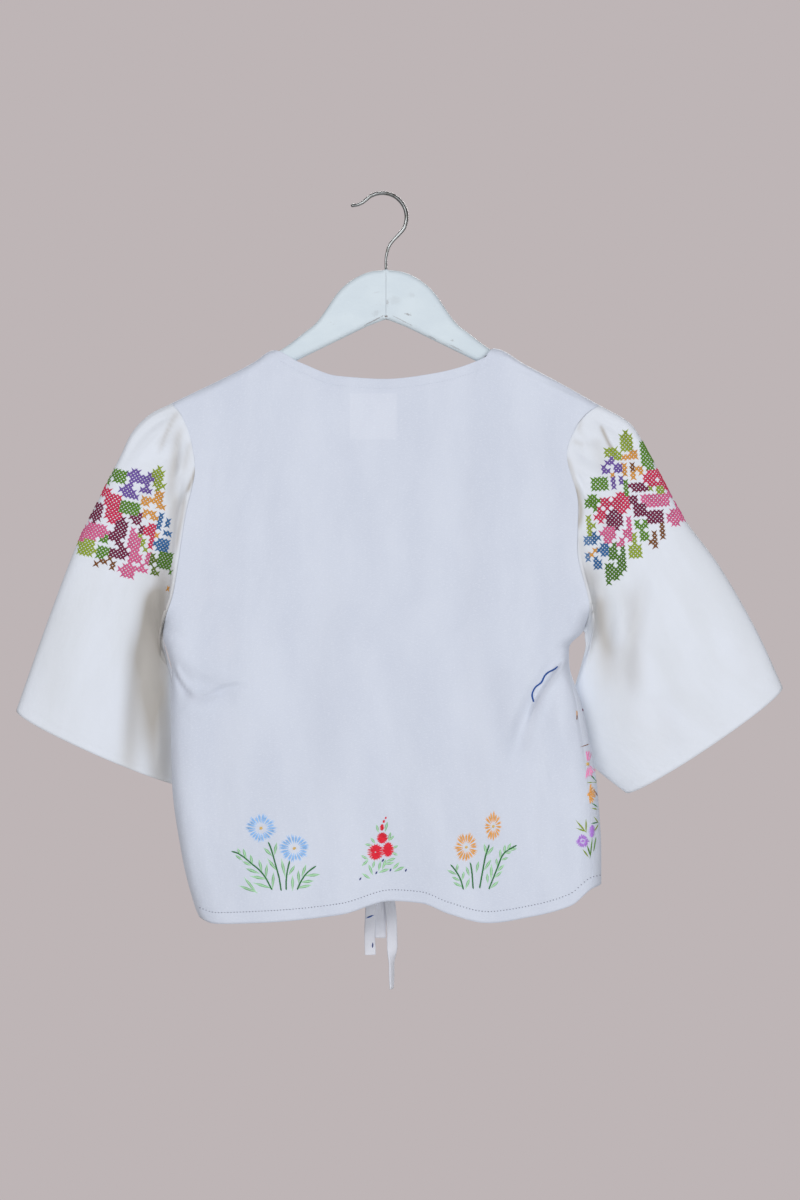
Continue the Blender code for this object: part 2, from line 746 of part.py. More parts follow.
def knot(finish, collection):
    bpy.ops.mesh.primitive_cube_add(size=1, location=KNOT_CENTRE)
    body = bpy.context.object
    body.name = "tie_knot"
    body.scale = KNOT_SIZE
    bpy.ops.object.transform_apply(location=False, rotation=False, scale=True)
    rounded = body.modifiers.new("rounded", "BEVEL")
    rounded.width = KNOT_BEVEL
    rounded.segments = 3
    return placed(body, finish, collection)


def build():
    for obj in list(bpy.data.objects):
        bpy.data.objects.remove(obj, do_unlink=True)
    blouse = bpy.data.collections.new(COLLECTION)
    bpy.context.scene.collection.children.link(blouse)

    body_cloth = material("body_cloth", (0.66, 0.69, 0.79), 0.85)
    sleeve_cloth = material("sleeve_cloth", (0.72, 0.73, 0.72), 0.85)
    label_cloth = material("label_cloth", (0.85, 0.85, 0.86), 0.6)
    painted_wood = material("painted_wood", (0.66, 0.74, 0.78), 0.4)
    chrome = material("chrome", (0.62, 0.60, 0.58), 0.25, 1.0)

    cloth("back", back_grid(), CLOTH, body_cloth, blouse)
    cloth("front_left", front_grid(-1)[:, ::-1], CLOTH, body_cloth, blouse)
    cloth("front_right", front_grid(1), CLOTH, body_cloth, blouse)
    cloth("sleeve_left", sleeve_grid(-1), CLOTH, sleeve_cloth, blouse, closed=True)
    cloth("sleeve_right", sleeve_grid(1)[:, ::-1], CLOTH, sleeve_cloth, blouse, closed=True)
    cloth("neck_facing", facing_grid(), BAND_CLOTH, body_cloth, blouse)
    cloth("label", label_grid(), BAND_CLOTH, label_cloth, blouse)
    knot(body_cloth, blouse)
    for name, rows in TIE_ENDS.items():
        cloth(name, tie_end_grid(rows), TIE_CLOTH, body_cloth, blouse)
    for name, loop in TIE_LOOPS.items():
        cloth(name, tie_loop_grid(**loop), TIE_CLOTH, body_cloth, blouse)
    for side in (-1, 1):
        wood_arm(side, painted_wood, blouse)
    hook(chrome, blouse)


build()
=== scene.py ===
# Cropped blouse with short gathered sleeves, embroidered, hanging on a white wooden hanger.
# Metres, +Z up. The blouse's back faces -Y, towards the camera.
import math

import bmesh
import bpy
import numpy as np
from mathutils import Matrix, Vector
from mathutils.bvhtree import BVHTree


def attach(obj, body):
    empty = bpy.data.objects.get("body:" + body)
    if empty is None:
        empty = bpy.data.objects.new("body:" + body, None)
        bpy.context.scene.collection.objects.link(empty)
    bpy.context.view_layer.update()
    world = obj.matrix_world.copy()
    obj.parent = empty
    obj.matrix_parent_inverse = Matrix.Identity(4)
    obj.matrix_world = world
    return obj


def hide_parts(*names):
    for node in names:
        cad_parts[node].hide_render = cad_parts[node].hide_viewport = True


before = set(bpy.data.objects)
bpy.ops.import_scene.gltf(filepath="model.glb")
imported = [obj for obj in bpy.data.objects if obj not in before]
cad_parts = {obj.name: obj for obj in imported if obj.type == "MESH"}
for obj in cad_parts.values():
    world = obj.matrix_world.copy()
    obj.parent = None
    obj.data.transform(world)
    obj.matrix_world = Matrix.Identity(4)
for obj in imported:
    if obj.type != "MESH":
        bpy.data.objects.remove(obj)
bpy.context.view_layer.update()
print("stage: frame loaded")


# Camera
# One pixel of the 800 x 1200 picture is one millimetre at the blouse.
cameraView = {
    "place": (0.014, -2.6, -0.405),
    "lens": 78.0,
    "middle": (400, 600),
    "pixelsPerMetre": 1000,
}

cameraData = bpy.data.cameras.new("camera")
cameraData.lens = cameraView["lens"]
cameraData.sensor_width = 36
camera = bpy.data.objects.new("camera", cameraData)
camera.location = cameraView["place"]
camera.rotation_euler = (math.radians(90), 0, 0)
bpy.context.collection.objects.link(camera)
bpy.context.scene.camera = camera
bpy.context.scene.view_settings.view_transform = "Standard"


def pictureOf(points, side=-1):
    # where points show in the picture; side 1 is the same picture seen through from the front
    cameraX, cameraY, cameraZ = cameraView["place"]
    reach = abs(cameraY) / (abs(cameraY) - side * points[..., 1])
    scale = cameraView["pixelsPerMetre"] * reach
    middleX, middleY = cameraView["middle"]
    return middleX + (points[..., 0] - cameraX) * scale, middleY - (points[..., 2] - cameraZ) * scale


# Small helpers
def mix(low, high, share):
    return low + (high - low) * share


def smooth(value):
    value = np.clip(value, 0, 1)
    return value * value * (3 - 2 * value)


def readLine(rows, at, column=1):
    # a column of a table of rows at a place along its first column, on a curve that never overshoots
    rows = np.array(sorted(rows), dtype=float)
    keys, values = rows[:, 0], rows[:, column]
    spans = np.diff(keys)
    rates = np.diff(values) / spans
    before, after = rates[:-1], rates[1:]
    sameWay = before * after > 0
    total = np.where(sameWay, before + after, 1)
    middle = np.where(sameWay, 2 * before * after / total, 0)
    slopes = np.concatenate([rates[:1], middle, rates[-1:]])
    at = np.clip(at, keys[0], keys[-1])
    index = np.clip(np.searchsorted(keys, at, side="right") - 1, 0, len(spans) - 1)
    share = (at - keys[index]) / spans[index]
    rest = 1 - share
    return (
        values[index] * rest * rest * (1 + 2 * share)
        + values[index + 1] * share * share * (3 - 2 * share)
        + spans[index] * share * rest * (slopes[index] * rest - slopes[index + 1] * share)
    )


def refinedPath(path, steps=6):
    # more points on a smooth curve through the given ones
    path = np.array(path, dtype=float)
    padded = np.concatenate([[2 * path[0] - path[1]], path, [2 * path[-1] - path[-2]]])
    share = np.linspace(0, 1, steps + 1)[:-1, None]
    made = []
    for a, b, c, d in zip(padded, padded[1:], padded[2:], padded[3:]):
        bend = 2 * a - 5 * b + 4 * c - d
        twist = 3 * b - a - 3 * c + d
        made.append(0.5 * (2 * b + (c - a) * share + bend * share**2 + twist * share**3))
    return np.concatenate(made + [path[-1:]])


def creaseHeight(across, down, creases):
    # soft troughs and ridges along lines drawn on the picture, in metres; lean makes one side high, one low
    height = np.zeros(across.shape)
    for path, width, depth, lean in creases:
        line = refinedPath(path)
        steps = np.diff(line, axis=0)
        lengths = np.hypot(*steps.T)
        starts = np.concatenate([[0], np.cumsum(lengths)])
        nearest = np.full(across.shape, 1e9)
        offset = np.zeros(across.shape)
        along = np.zeros(across.shape)
        for (x, y), (stepX, stepY), length, start in zip(line, steps / lengths[:, None], lengths, starts):
            run = (across - x) * stepX + (down - y) * stepY
            held = np.clip(run, 0, length)
            distance = np.hypot(across - x - held * stepX, down - y - held * stepY)
            closer = distance < nearest
            nearest = np.where(closer, distance, nearest)
            sideways = (across - x) * stepY - (down - y) * stepX
            offset = np.where(closer, np.copysign(distance, sideways), offset)
            along = np.where(closer, start + run, along)
        share = along / starts[-1]
        ends = smooth(share / 0.22 + 0.1) * smooth((1 - share) / 0.3 + 0.1)
        reach = offset / width
        profile = np.exp(-reach**2) * (1 - abs(lean) + 2.33 * lean * reach)
        height += depth * 0.001 * ends * profile
    return height


def shadeTone(across, down, shades):
    # how shaded the cloth is, from 0 to 1, along lines drawn on the picture
    lines = [(path, width, strength * 1000, 0.0) for path, width, strength in shades]
    return creaseHeight(across, down, lines)


def unevenness(across, down, size, seed):
    # slow swells of the cloth, from a few crossed waves
    chance = np.random.default_rng(seed)
    height = np.zeros(across.shape)
    for _ in range(7):
        angle = chance.uniform(-0.5, 0.5)
        pitch = size * chance.uniform(0.6, 1.9)
        phase = chance.uniform(0, 2 * math.pi)
        run = across * math.cos(angle) + down * math.sin(angle) * 0.35
        height += np.sin(run * 2 * math.pi / pitch + phase) / 7
    return height


# The body's form, as the solids have it
bodyForm = {
    "cloth": 0.0012,
    "seamGap": 0.00012,
    "leftHem": -0.7205,
    "leftArmpit": -0.441,
    "leftTip": -0.208,
    "rightHem": -0.691,
    "rightArmpit": -0.436,
    "rightTip": -0.210,
    "leftNeck": (-0.113, -0.1555),
    "rightNeck": (0.108, -0.1535),
    "shoulderSlope": 0.5,
    "neckSlope": 0.72,
    "shoulderRoll": 0.009,
    "armpitRise": 0.030,
    "armpitGap": 0.0004,
    "frontHemLift": 0.004,
    "leftEdge": (
        (-0.7205, -0.187), (-0.711, -0.191), (-0.660, -0.204), (-0.585, -0.214), (-0.525, -0.215),
        (-0.477, -0.214), (-0.459, -0.218), (-0.441, -0.223), (-0.399, -0.211), (-0.321, -0.199),
        (-0.273, -0.190), (-0.246, -0.194), (-0.222, -0.203), (-0.208, -0.214),
    ),
    "rightEdge": (
        (-0.691, 0.205), (-0.660, 0.205), (-0.604, 0.202), (-0.551, 0.196), (-0.510, 0.190),
        (-0.470, 0.182), (-0.452, 0.183), (-0.436, 0.197), (-0.416, 0.202), (-0.354, 0.190),
        (-0.310, 0.191), (-0.260, 0.180), (-0.233, 0.189), (-0.219, 0.200), (-0.210, 0.213),
    ),
    "rightWrap": ((-0.720, 50), (-0.600, 50), (-0.510, 36), (-0.460, 12), (-0.440, 0)),
    "halfDepth": (
        (-0.730, 0.029), (-0.600, 0.028), (-0.440, 0.025), (-0.330, 0.018), (-0.260, 0.012),
        (-0.225, 0.009), (-0.150, 0.009),
    ),
    "hem": (
        (-0.187, -0.7205), (-0.170, -0.7255), (-0.114, -0.7235), (-0.045, -0.7165), (0.006, -0.7030),
        (0.035, -0.7050), (0.063, -0.7155), (0.101, -0.7245), (0.145, -0.7185), (0.183, -0.7075),
        (0.205, -0.6910), (0.216, -0.6880),
    ),
    "top": (
        (-0.214, -0.2080), (-0.188, -0.1955), (-0.156, -0.1800), (-0.131, -0.1665), (-0.113, -0.1555),
        (-0.086, -0.1680), (-0.048, -0.1815), (0.000, -0.1845), (0.045, -0.1795), (0.096, -0.1645),
        (0.108, -0.1535), (0.140, -0.1700), (0.175, -0.1885), (0.213, -0.2100),
    ),
    "vNeck": ((-0.385, 0.0), (-0.345, 0.026), (-0.280, 0.060), (-0.210, 0.091), (-0.1545, 0.110)),
    # x and z at the top, x and z at the bottom, width, height
    "backFolds": (
        (-0.185, -0.300, -0.181, -0.730, 0.026, -0.0025),
        (-0.130, -0.380, -0.116, -0.730, 0.030, 0.0030),
        (0.000, -0.420, 0.000, -0.730, 0.034, -0.0030),
        (0.055, -0.480, 0.068, -0.730, 0.026, 0.0030),
        (0.150, -0.300, 0.146, -0.730, 0.028, -0.0030),
        (0.178, -0.462, 0.131, -0.558, 0.013, -0.0045),
        (0.160, -0.445, 0.118, -0.530, 0.016, 0.0035),
        (-0.222, -0.468, -0.166, -0.496, 0.010, -0.0030),
    ),
    "frontFolds": (
        (-0.150, -0.400, -0.020, -0.690, 0.020, 0.0035),
        (-0.180, -0.560, -0.030, -0.700, 0.018, -0.0035),
        (0.140, -0.380, 0.015, -0.685, 0.020, 0.0035),
        (0.185, -0.540, 0.025, -0.700, 0.018, -0.0035),
        (-0.060, -0.480, -0.012, -0.680, 0.012, -0.0030),
        (0.060, -0.470, 0.008, -0.680, 0.012, -0.0030),
    ),
}


def foldHeight(folds, x, z):
    height = np.zeros(np.broadcast(x, z).shape)
    for xTop, zTop, xBottom, zBottom, width, depth in folds:
        runX, runZ = xBottom - xTop, zBottom - zTop
        length = math.hypot(runX, runZ)
        along = ((x - xTop) * runX + (z - zTop) * runZ) / length**2
        across = ((x - xTop) * runZ - (z - zTop) * runX) / length
        ends = smooth(along / 0.3) * smooth((1.35 - along) / 0.35)
        height = height + depth * ends * np.exp(-((across / width) ** 2))
    return height


def bodyEdge(side, row):
    # seam or armhole edge on one side: x, z, and how far the side has opened into the armhole
    name = "left" if side < 0 else "right"
    hem, armpit, tip = (bodyForm[name + part] for part in ("Hem", "Armpit", "Tip"))
    sideShare = np.clip(row / 0.5, 0, 1)
    armholeShare = np.clip((row - 0.5) / 0.5, 0, 1)
    z = hem + (armpit - hem) * sideShare + (tip - armpit) * armholeShare
    opened = smooth((z - armpit) / bodyForm["armpitRise"])
    return readLine(bodyForm[name + "Edge"], z), z, opened


def sideBand(side, face, share, row):
    # x and depth share of the strip that rolls round a side, from its seam to where it lies flat
    edgeX, edgeZ, opened = bodyEdge(side, row)
    roll = readLine(bodyForm["halfDepth"], edgeZ)
    wrap = np.radians(readLine(bodyForm["rightWrap"], edgeZ)) if side > 0 else np.zeros_like(edgeZ)
    first = -face * wrap + bodyForm["seamGap"] / 2 / roll
    angle = mix(first, math.pi / 2, share)
    rolledX = edgeX - side * roll * (np.cos(wrap) - np.cos(angle))
    flatX = edgeX - side * roll * share
    return mix(rolledX, flatX, opened), mix(np.sin(angle), 1, opened)


def shoulderDepth(x, z):
    leftX, leftZ = bodyForm["leftNeck"]
    rightX, rightZ = bodyForm["rightNeck"]
    inward = np.maximum(np.minimum(x - leftX, rightX - x), 0)
    neckZ = np.where(x < 0, leftZ, rightZ)
    line = np.where(inward > 0, neckZ + bodyForm["neckSlope"] * inward, readLine(bodyForm["top"], x))
    below = (line - z) / math.hypot(1, bodyForm["shoulderSlope"])
    turn = np.clip(below / bodyForm["shoulderRoll"], 0, 1)
    return np.sqrt(1 - (1 - turn) ** 2)


def liftedPoints(x, z, depthShare, face, extra=None):
    # outer face of a panel at x and z; extra gives the fine creases from the picture
    shoulder = shoulderDepth(x, z)
    depth = readLine(bodyForm["halfDepth"], z) * depthShare * shoulder
    depth = np.where(depthShare > 0, np.maximum(depth, bodyForm["seamGap"] / 2), depth)
    settled = smooth((depthShare - 0.6) / 0.4) * smooth(shoulder * 2 - 1)
    folds = foldHeight(bodyForm["backFolds" if face < 0 else "frontFolds"], x, z)
    y = face * (depth + settled * folds)
    points = np.stack([x, y, z], axis=-1)
    if extra is not None:
        near = smooth((depthShare - 0.25) / 0.5) * smooth(shoulder * 1.6 - 0.6)
        points[..., 1] += face * near * extra(points)
    return points


def rowShare(row):
    shares = []
    for side, name in ((-1, "left"), (1, "right")):
        _, z, _ = bodyEdge(side, row)
        hem, tip = bodyForm[name + "Hem"], bodyForm[name + "Tip"]
        shares.append((z - hem) / (tip - hem))
    return (shares[0] + shares[1]) / 2


def backAcross(bandLeft, flat, bandRight, row):
    leftX, leftDepth = sideBand(-1, -1, bandLeft, row)
    rightX, rightDepth = sideBand(1, -1, bandRight, row)
    x = np.where(bandLeft < 1, leftX, np.where(bandRight < 1, rightX, mix(leftX, rightX, flat)))
    depth = np.where(bandLeft < 1, leftDepth, np.where(bandRight < 1, rightDepth, 1))
    return x, depth


def backPoints(bandLeft, flat, bandRight, row, extra=None):
    x, depth = backAcross(bandLeft, flat, bandRight, row)
    hemX, _ = backAcross(bandLeft, flat, bandRight, np.zeros_like(row))
    topX, _ = backAcross(bandLeft, flat, bandRight, np.ones_like(row))
    leftX, leftZ, _ = bodyEdge(-1, row)
    rightX, rightZ, _ = bodyEdge(1, row)
    across = (x - leftX) / (rightX - leftX)
    share = rowShare(row)
    hemExtra = readLine(bodyForm["hem"], hemX) - mix(bodyForm["leftHem"], bodyForm["rightHem"], across)
    topExtra = readLine(bodyForm["top"], topX) - mix(bodyForm["leftTip"], bodyForm["rightTip"], across)
    z = mix(leftZ, rightZ, across) + (1 - share) * hemExtra + share * topExtra
    return liftedPoints(x, z, depth, -1, extra)


def frontAcross(side, band, flat, row):
    bandX, depth = sideBand(side, 1, band, row)
    neckX, neckZ = bodyForm["leftNeck"] if side < 0 else bodyForm["rightNeck"]
    innerZ = mix(readLine(bodyForm["hem"], 0.0), neckZ, rowShare(row))
    widening = abs(neckX) / bodyForm["vNeck"][-1][1]
    innerX = side * (bodyForm["seamGap"] / 2 + widening * readLine(bodyForm["vNeck"], innerZ))
    x = np.where(band < 1, bandX, mix(bandX, innerX, flat))
    return x, np.where(band < 1, depth, 1), innerX, innerZ


def frontPoints(side, band, flat, row, extra=None):
    x, depth, innerX, innerZ = frontAcross(side, band, flat, row)
    hemX = frontAcross(side, band, flat, np.zeros_like(row))[0]
    topX = frontAcross(side, band, flat, np.ones_like(row))[0]
    edgeX, edgeZ, _ = bodyEdge(side, row)
    across = (x - edgeX) / (innerX - edgeX)
    share = rowShare(row)
    name = "left" if side < 0 else "right"
    lift = bodyForm["frontHemLift"] * smooth(across * 4)
    hemExtra = (
        readLine(bodyForm["hem"], hemX) + lift
        - mix(bodyForm[name + "Hem"], readLine(bodyForm["hem"], 0.0), across)
    )
    topExtra = (
        readLine(bodyForm["top"], topX)
        - mix(bodyForm[name + "Tip"], bodyForm[name + "Neck"][1], across)
    )
    z = mix(edgeZ, innerZ, across) + (1 - share) * hemExtra + share * topExtra
    return liftedPoints(x, z, depth, 1, extra)


# Materials
def newMaterial(name):
    material = bpy.data.materials.new(name)
    material.use_nodes = True
    tree = material.node_tree
    shader = tree.nodes["Principled BSDF"]
    return material, tree, shader


def addNode(tree, kind, values=None, links=None, **settings):
    node = tree.nodes.new(kind)
    for name, value in settings.items():
        setattr(node, name, value)
    for name, value in (values or {}).items():
        node.inputs[name].default_value = value
    for name, source in (links or {}).items():
        tree.links.new(source, node.inputs[name])
    return node


def mathNode(tree, operation, first, second=None, third=None):
    node = addNode(tree, "ShaderNodeMath", operation=operation)
    for index, value in enumerate((first, second, third)):
        if value is None:
            continue
        if isinstance(value, (int, float)):
            node.inputs[index].default_value = value
        else:
            tree.links.new(value, node.inputs[index])
    return node.outputs[0]


def times(tree, first, second):
    return mathNode(tree, "MULTIPLY", first, second)


def plus(tree, first, second):
    return mathNode(tree, "ADD", first, second)


def minus(tree, first, second):
    return mathNode(tree, "SUBTRACT", first, second)


def mixColour(tree, share, first, second, blend="MIX"):
    node = addNode(tree, "ShaderNodeMix", data_type="RGBA", blend_type=blend)
    for socket, value in ((node.inputs[0], share), (node.inputs[6], first), (node.inputs[7], second)):
        if isinstance(value, (int, float)):
            socket.default_value = value
        elif isinstance(value, tuple):
            socket.default_value = (*value, 1)
        else:
            tree.links.new(value, socket)
    return node.outputs[2]


def ramp(tree, source, low, high):
    # 0 below low, 1 above high, with soft ends
    node = addNode(tree, "ShaderNodeMapRange", {"From Min": low, "From Max": high}, {"Value": source})
    node.interpolation_type = "SMOOTHSTEP"
    return node.outputs[0]


def noiseTone(tree, place, size, detail=2.0, stretch=None):
    # noise from 0 to 1 on a place, which stretch scales first
    if stretch is not None:
        place = addNode(tree, "ShaderNodeMapping", {"Scale": stretch}, {"Vector": place}).outputs[0]
    noise = addNode(tree, "ShaderNodeTexNoise", {"Scale": size, "Detail": detail}, {"Vector": place})
    return noise.outputs["Fac"]


def setRoughness(tree, shader, tone, low, high):
    # low where the tone is 0, high where it is 1
    rough = addNode(tree, "ShaderNodeMapRange", {"To Min": low, "To Max": high}, {"Value": tone})
    tree.links.new(rough.outputs[0], shader.inputs["Roughness"])


def bumpNormal(tree, height, strength, distance, under=None):
    links = {"Height": height} if under is None else {"Height": height, "Normal": under}
    return addNode(tree, "ShaderNodeBump", {"Strength": strength, "Distance": distance}, links).outputs[0]


weaveValues = {
    "pitch": 0.00066,  # metres from thread to thread
    "bump": 0.00007,
    "shadeBandScale": 22.0,
    "fineScale": 900.0,
    "stainScale": 9.0,
    "crumpleScale": 55.0,
}


def weaveHeight(tree, uv, pitch):
    # plain weave: warp and weft ribs that take turns on top
    split = addNode(tree, "ShaderNodeSeparateXYZ", links={"Vector": uv})
    waves = [mathNode(tree, "SINE", times(tree, split.outputs[axis], math.pi / pitch)) for axis in (0, 1)]
    over = ramp(tree, times(tree, *waves), -0.25, 0.25)
    warp, weft = (mathNode(tree, "ABSOLUTE", wave) for wave in waves)
    return plus(tree, times(tree, warp, over), times(tree, weft, minus(tree, 1, over)))


def clothMaterial(name, values):
    material, tree, shader = newMaterial(name)
    uv = addNode(tree, "ShaderNodeUVMap", uv_map="cloth").outputs[0]
    place = addNode(tree, "ShaderNodeTexCoord").outputs["Object"]

    def tinted(colour, share, strength, tint):
        return mixColour(tree, times(tree, share, strength), colour, tint)

    weave = weaveHeight(tree, uv, weaveValues["pitch"])
    slubLow, slubScale = values["slubLow"], values["slubScale"]
    slubs = ramp(tree, noiseTone(tree, uv, slubScale, 1.0, (1, 14, 1)), slubLow, slubLow + 0.08)
    warpSlubs = ramp(tree, noiseTone(tree, uv, slubScale, 1.0, (16, 1, 1)), slubLow + 0.03, slubLow + 0.1)
    # painted shade: soft random vertical bands between shadeColour and colour stand in for the shading of
    # gentle drape
    clouds = ramp(tree, noiseTone(tree, uv, weaveValues["shadeBandScale"], 3.0, (1, 0.35, 1)), 0.3, 0.7)
    fine = noiseTone(tree, uv, weaveValues["fineScale"], 2.0, (1, 1, 1))
    stain = noiseTone(tree, place, weaveValues["stainScale"], 4.0, (1, 1, 1))
    stain = ramp(tree, stain, values["stainLow"], values["stainLow"] + 0.12)
    # painted shade: a per-point attribute tints the cloth towards a darker shade colour where folds, creases
    # and hollows lie in shade
    paintedShade = addNode(tree, "ShaderNodeAttribute", attribute_name="paintedShade").outputs["Fac"]
    colour = mixColour(tree, clouds, values["shadeColour"], values["colour"])
    colour = tinted(colour, slubs, values["slubTint"], values["slubColour"])
    colour = tinted(colour, warpSlubs, values["slubTint"] * 0.6, values["slubColour"])
    # painted shade in the low gaps of the weave, between the threads
    colour = tinted(colour, minus(tree, 1, weave), values["weaveShadeTint"], values["weaveShadeColour"])
    colour = tinted(colour, stain, values["stain"], values["stainColour"])
    colour = tinted(colour, paintedShade, values["paintedShade"], values["paintedShadeColour"])
    if "label" in values:
        colour = labelGlow(tree, place, colour, values["label"])
    tree.links.new(colour, shader.inputs["Base Color"])
    setRoughness(tree, shader, fine, 0.86, 0.72)
    shader.inputs["Specular IOR Level"].default_value = 0.25
    shader.inputs["Sheen Weight"].default_value = values["sheen"]
    shader.inputs["Sheen Roughness"].default_value = 0.5
    height = weave
    for relief, share in ((slubs, 0.9), (warpSlubs, 0.6), (fine, 0.8)):
        height = plus(tree, height, times(tree, relief, share))
    threadRelief = bumpNormal(tree, height, 0.6, weaveValues["bump"])
    crumple = noiseTone(tree, uv, weaveValues["crumpleScale"], 4.0, (1, 0.6, 1))
    soft = bumpNormal(tree, crumple, 0.5, values["crumple"], threadRelief)
    tree.links.new(soft, shader.inputs["Normal"])
    return material


def labelGlow(tree, place, colour, box):
    # the blank label inside shows through the cloth as a slightly lighter rectangle
    split = addNode(tree, "ShaderNodeSeparateXYZ", links={"Vector": place})
    x, y, z = split.outputs
    left, right, bottom, top, depth, strength = box
    inside = ramp(tree, x, left - 0.001, left + 0.001)
    for source, low, high in ((x, right + 0.001, right - 0.001), (z, bottom - 0.001, bottom + 0.001),
                              (z, top + 0.001, top - 0.001), (y, 0.0, -depth)):
        inside = times(tree, inside, ramp(tree, source, low, high))
    return mixColour(tree, times(tree, inside, strength), colour, (0.90, 0.92, 0.97))


bodyClothValues = {
    "colour": (0.618, 0.664, 0.752),
    # the painted shade of the soft vertical bands
    "shadeColour": (0.574, 0.620, 0.712),
    "slubScale": 260.0,
    "slubLow": 0.60,
    "slubTint": 0.75,
    "slubColour": (0.72, 0.76, 0.84),
    # painted shade in the weave's gaps: strength and colour
    "weaveShadeTint": 0.16,
    "weaveShadeColour": (0.47, 0.50, 0.60),
    "stainLow": 0.62,
    "stain": 0.12,
    "stainColour": (0.70, 0.70, 0.76),
    # painted shade: its strength and colour
    "paintedShade": 0.6,
    "paintedShadeColour": (0.36, 0.37, 0.43),
    "sheen": 0.15,
    "crumple": 0.0016,
    "label": (-0.036, 0.011, -0.245, -0.199, 0.004, 0.09),
}
sleeveClothValues = {
    "colour": (0.705, 0.750, 0.822),
    # the painted shade of the soft vertical bands
    "shadeColour": (0.665, 0.705, 0.760),
    "slubScale": 240.0,
    "slubLow": 0.63,
    "slubTint": 0.3,
    "slubColour": (0.80, 0.82, 0.85),
    # painted shade in the weave's gaps: strength and colour
    "weaveShadeTint": 0.14,
    "weaveShadeColour": (0.56, 0.54, 0.50),
    "stainLow": 0.60,
    "stain": 0.15,
    "stainColour": (0.70, 0.69, 0.66),
    # painted shade: its strength and colour
    "paintedShade": 0.85,
    "paintedShadeColour": (0.385, 0.355, 0.310),
    "sheen": 0.12,
    "crumple": 0.0014,
}
bodyCloth = clothMaterial("bodyLinen", bodyClothValues)
plainClothValues = dict(bodyClothValues)
del plainClothValues["label"]
plainCloth = clothMaterial("plainLinen", plainClothValues)
sleeveCloth = clothMaterial("sleeveCotton", sleeveClothValues)
print("stage: cloth materials")


# Cloth shells, thinner than the walls of the solids
panelWall = bodyForm["cloth"] * 0.75


def gridMesh(name, grid, closed):
    # a sheet of quads on rows of points, with a UV map in metres along the cloth
    rows, columns = grid.shape[:2]
    across = np.arange(columns if closed else columns - 1)
    first = (np.arange(rows - 1)[:, None] * columns + across).reshape(-1)
    beside = (np.arange(rows - 1)[:, None] * columns + (across + 1) % columns).reshape(-1)
    faces = np.stack([first, beside, beside + columns, first + columns], axis=-1)
    corners = [(0, 0), (0, 1), (1, 1), (1, 0)]
    if closed:
        core = grid.mean(axis=1, keepdims=True)
        towards = np.cross(grid[:-1, 1:] - grid[:-1, :-1], grid[1:, :-1] - grid[:-1, :-1])
        if (towards * (grid - core)[:-1, :-1]).sum() < 0:
            faces = faces[:, ::-1]
            corners = corners[::-1]
    mesh = bpy.data.meshes.new(name)
    mesh.from_pydata(grid.reshape(-1, 3).tolist(), [], faces.tolist())
    ring = np.concatenate([grid, grid[:, :1]], axis=1) if closed else grid
    stepsU = np.linalg.norm(np.diff(ring, axis=1), axis=2)
    stepsV = np.linalg.norm(np.diff(ring, axis=0), axis=2)
    u = np.concatenate([np.zeros((rows, 1)), np.cumsum(stepsU, axis=1)], axis=1)
    u -= u[:, ring.shape[1] // 2][:, None]
    v = np.concatenate([np.zeros((1, ring.shape[1])), np.cumsum(stepsV, axis=0)], axis=0)
    v = np.repeat(v.mean(axis=1, keepdims=True), ring.shape[1], axis=1)
    lower = np.arange(rows - 1)[:, None]
    loops = [np.stack([u[lower + r, across + c], v[lower + r, across + c]], axis=-1) for r, c in corners]
    layer = mesh.uv_layers.new(name="cloth")
    layer.data.foreach_set("uv", np.stack(loops, axis=2).reshape(-1))
    mesh.shade_smooth()
    return mesh


def clothPiece(name, grid, wall, material, closed=False, thick=None, paintedShade=None):
    # a wall of cloth: thick, from 0 to 1, makes turned edges up to twice as thick
    mesh = gridMesh(name, grid, closed)
    mesh.materials.append(material)
    piece = bpy.data.objects.new(name, mesh)
    bpy.context.collection.objects.link(piece)
    # painted shade, from 0 to 1 at each point, for the cloth material to darken by
    attribute = mesh.attributes.new("paintedShade", "FLOAT", "POINT")
    values = np.zeros(grid.shape[:2]) if paintedShade is None else paintedShade
    attribute.data.foreach_set("value", np.clip(values, 0, 1).reshape(-1))
    group = piece.vertex_groups.new(name="wall")
    weights = np.full(grid.shape[:2], 0.5) if thick is None else 0.5 + 0.5 * np.clip(thick, 0, 1)
    for level in np.unique(weights.round(2)):
        chosen = np.flatnonzero(weights.round(2).reshape(-1) == level)
        group.add(chosen.tolist(), float(level), "REPLACE")
    shell = piece.modifiers.new("wall", "SOLIDIFY")
    shell.thickness = wall * 2
    shell.offset = -1
    shell.vertex_group = "wall"
    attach(piece, "root")
    return piece


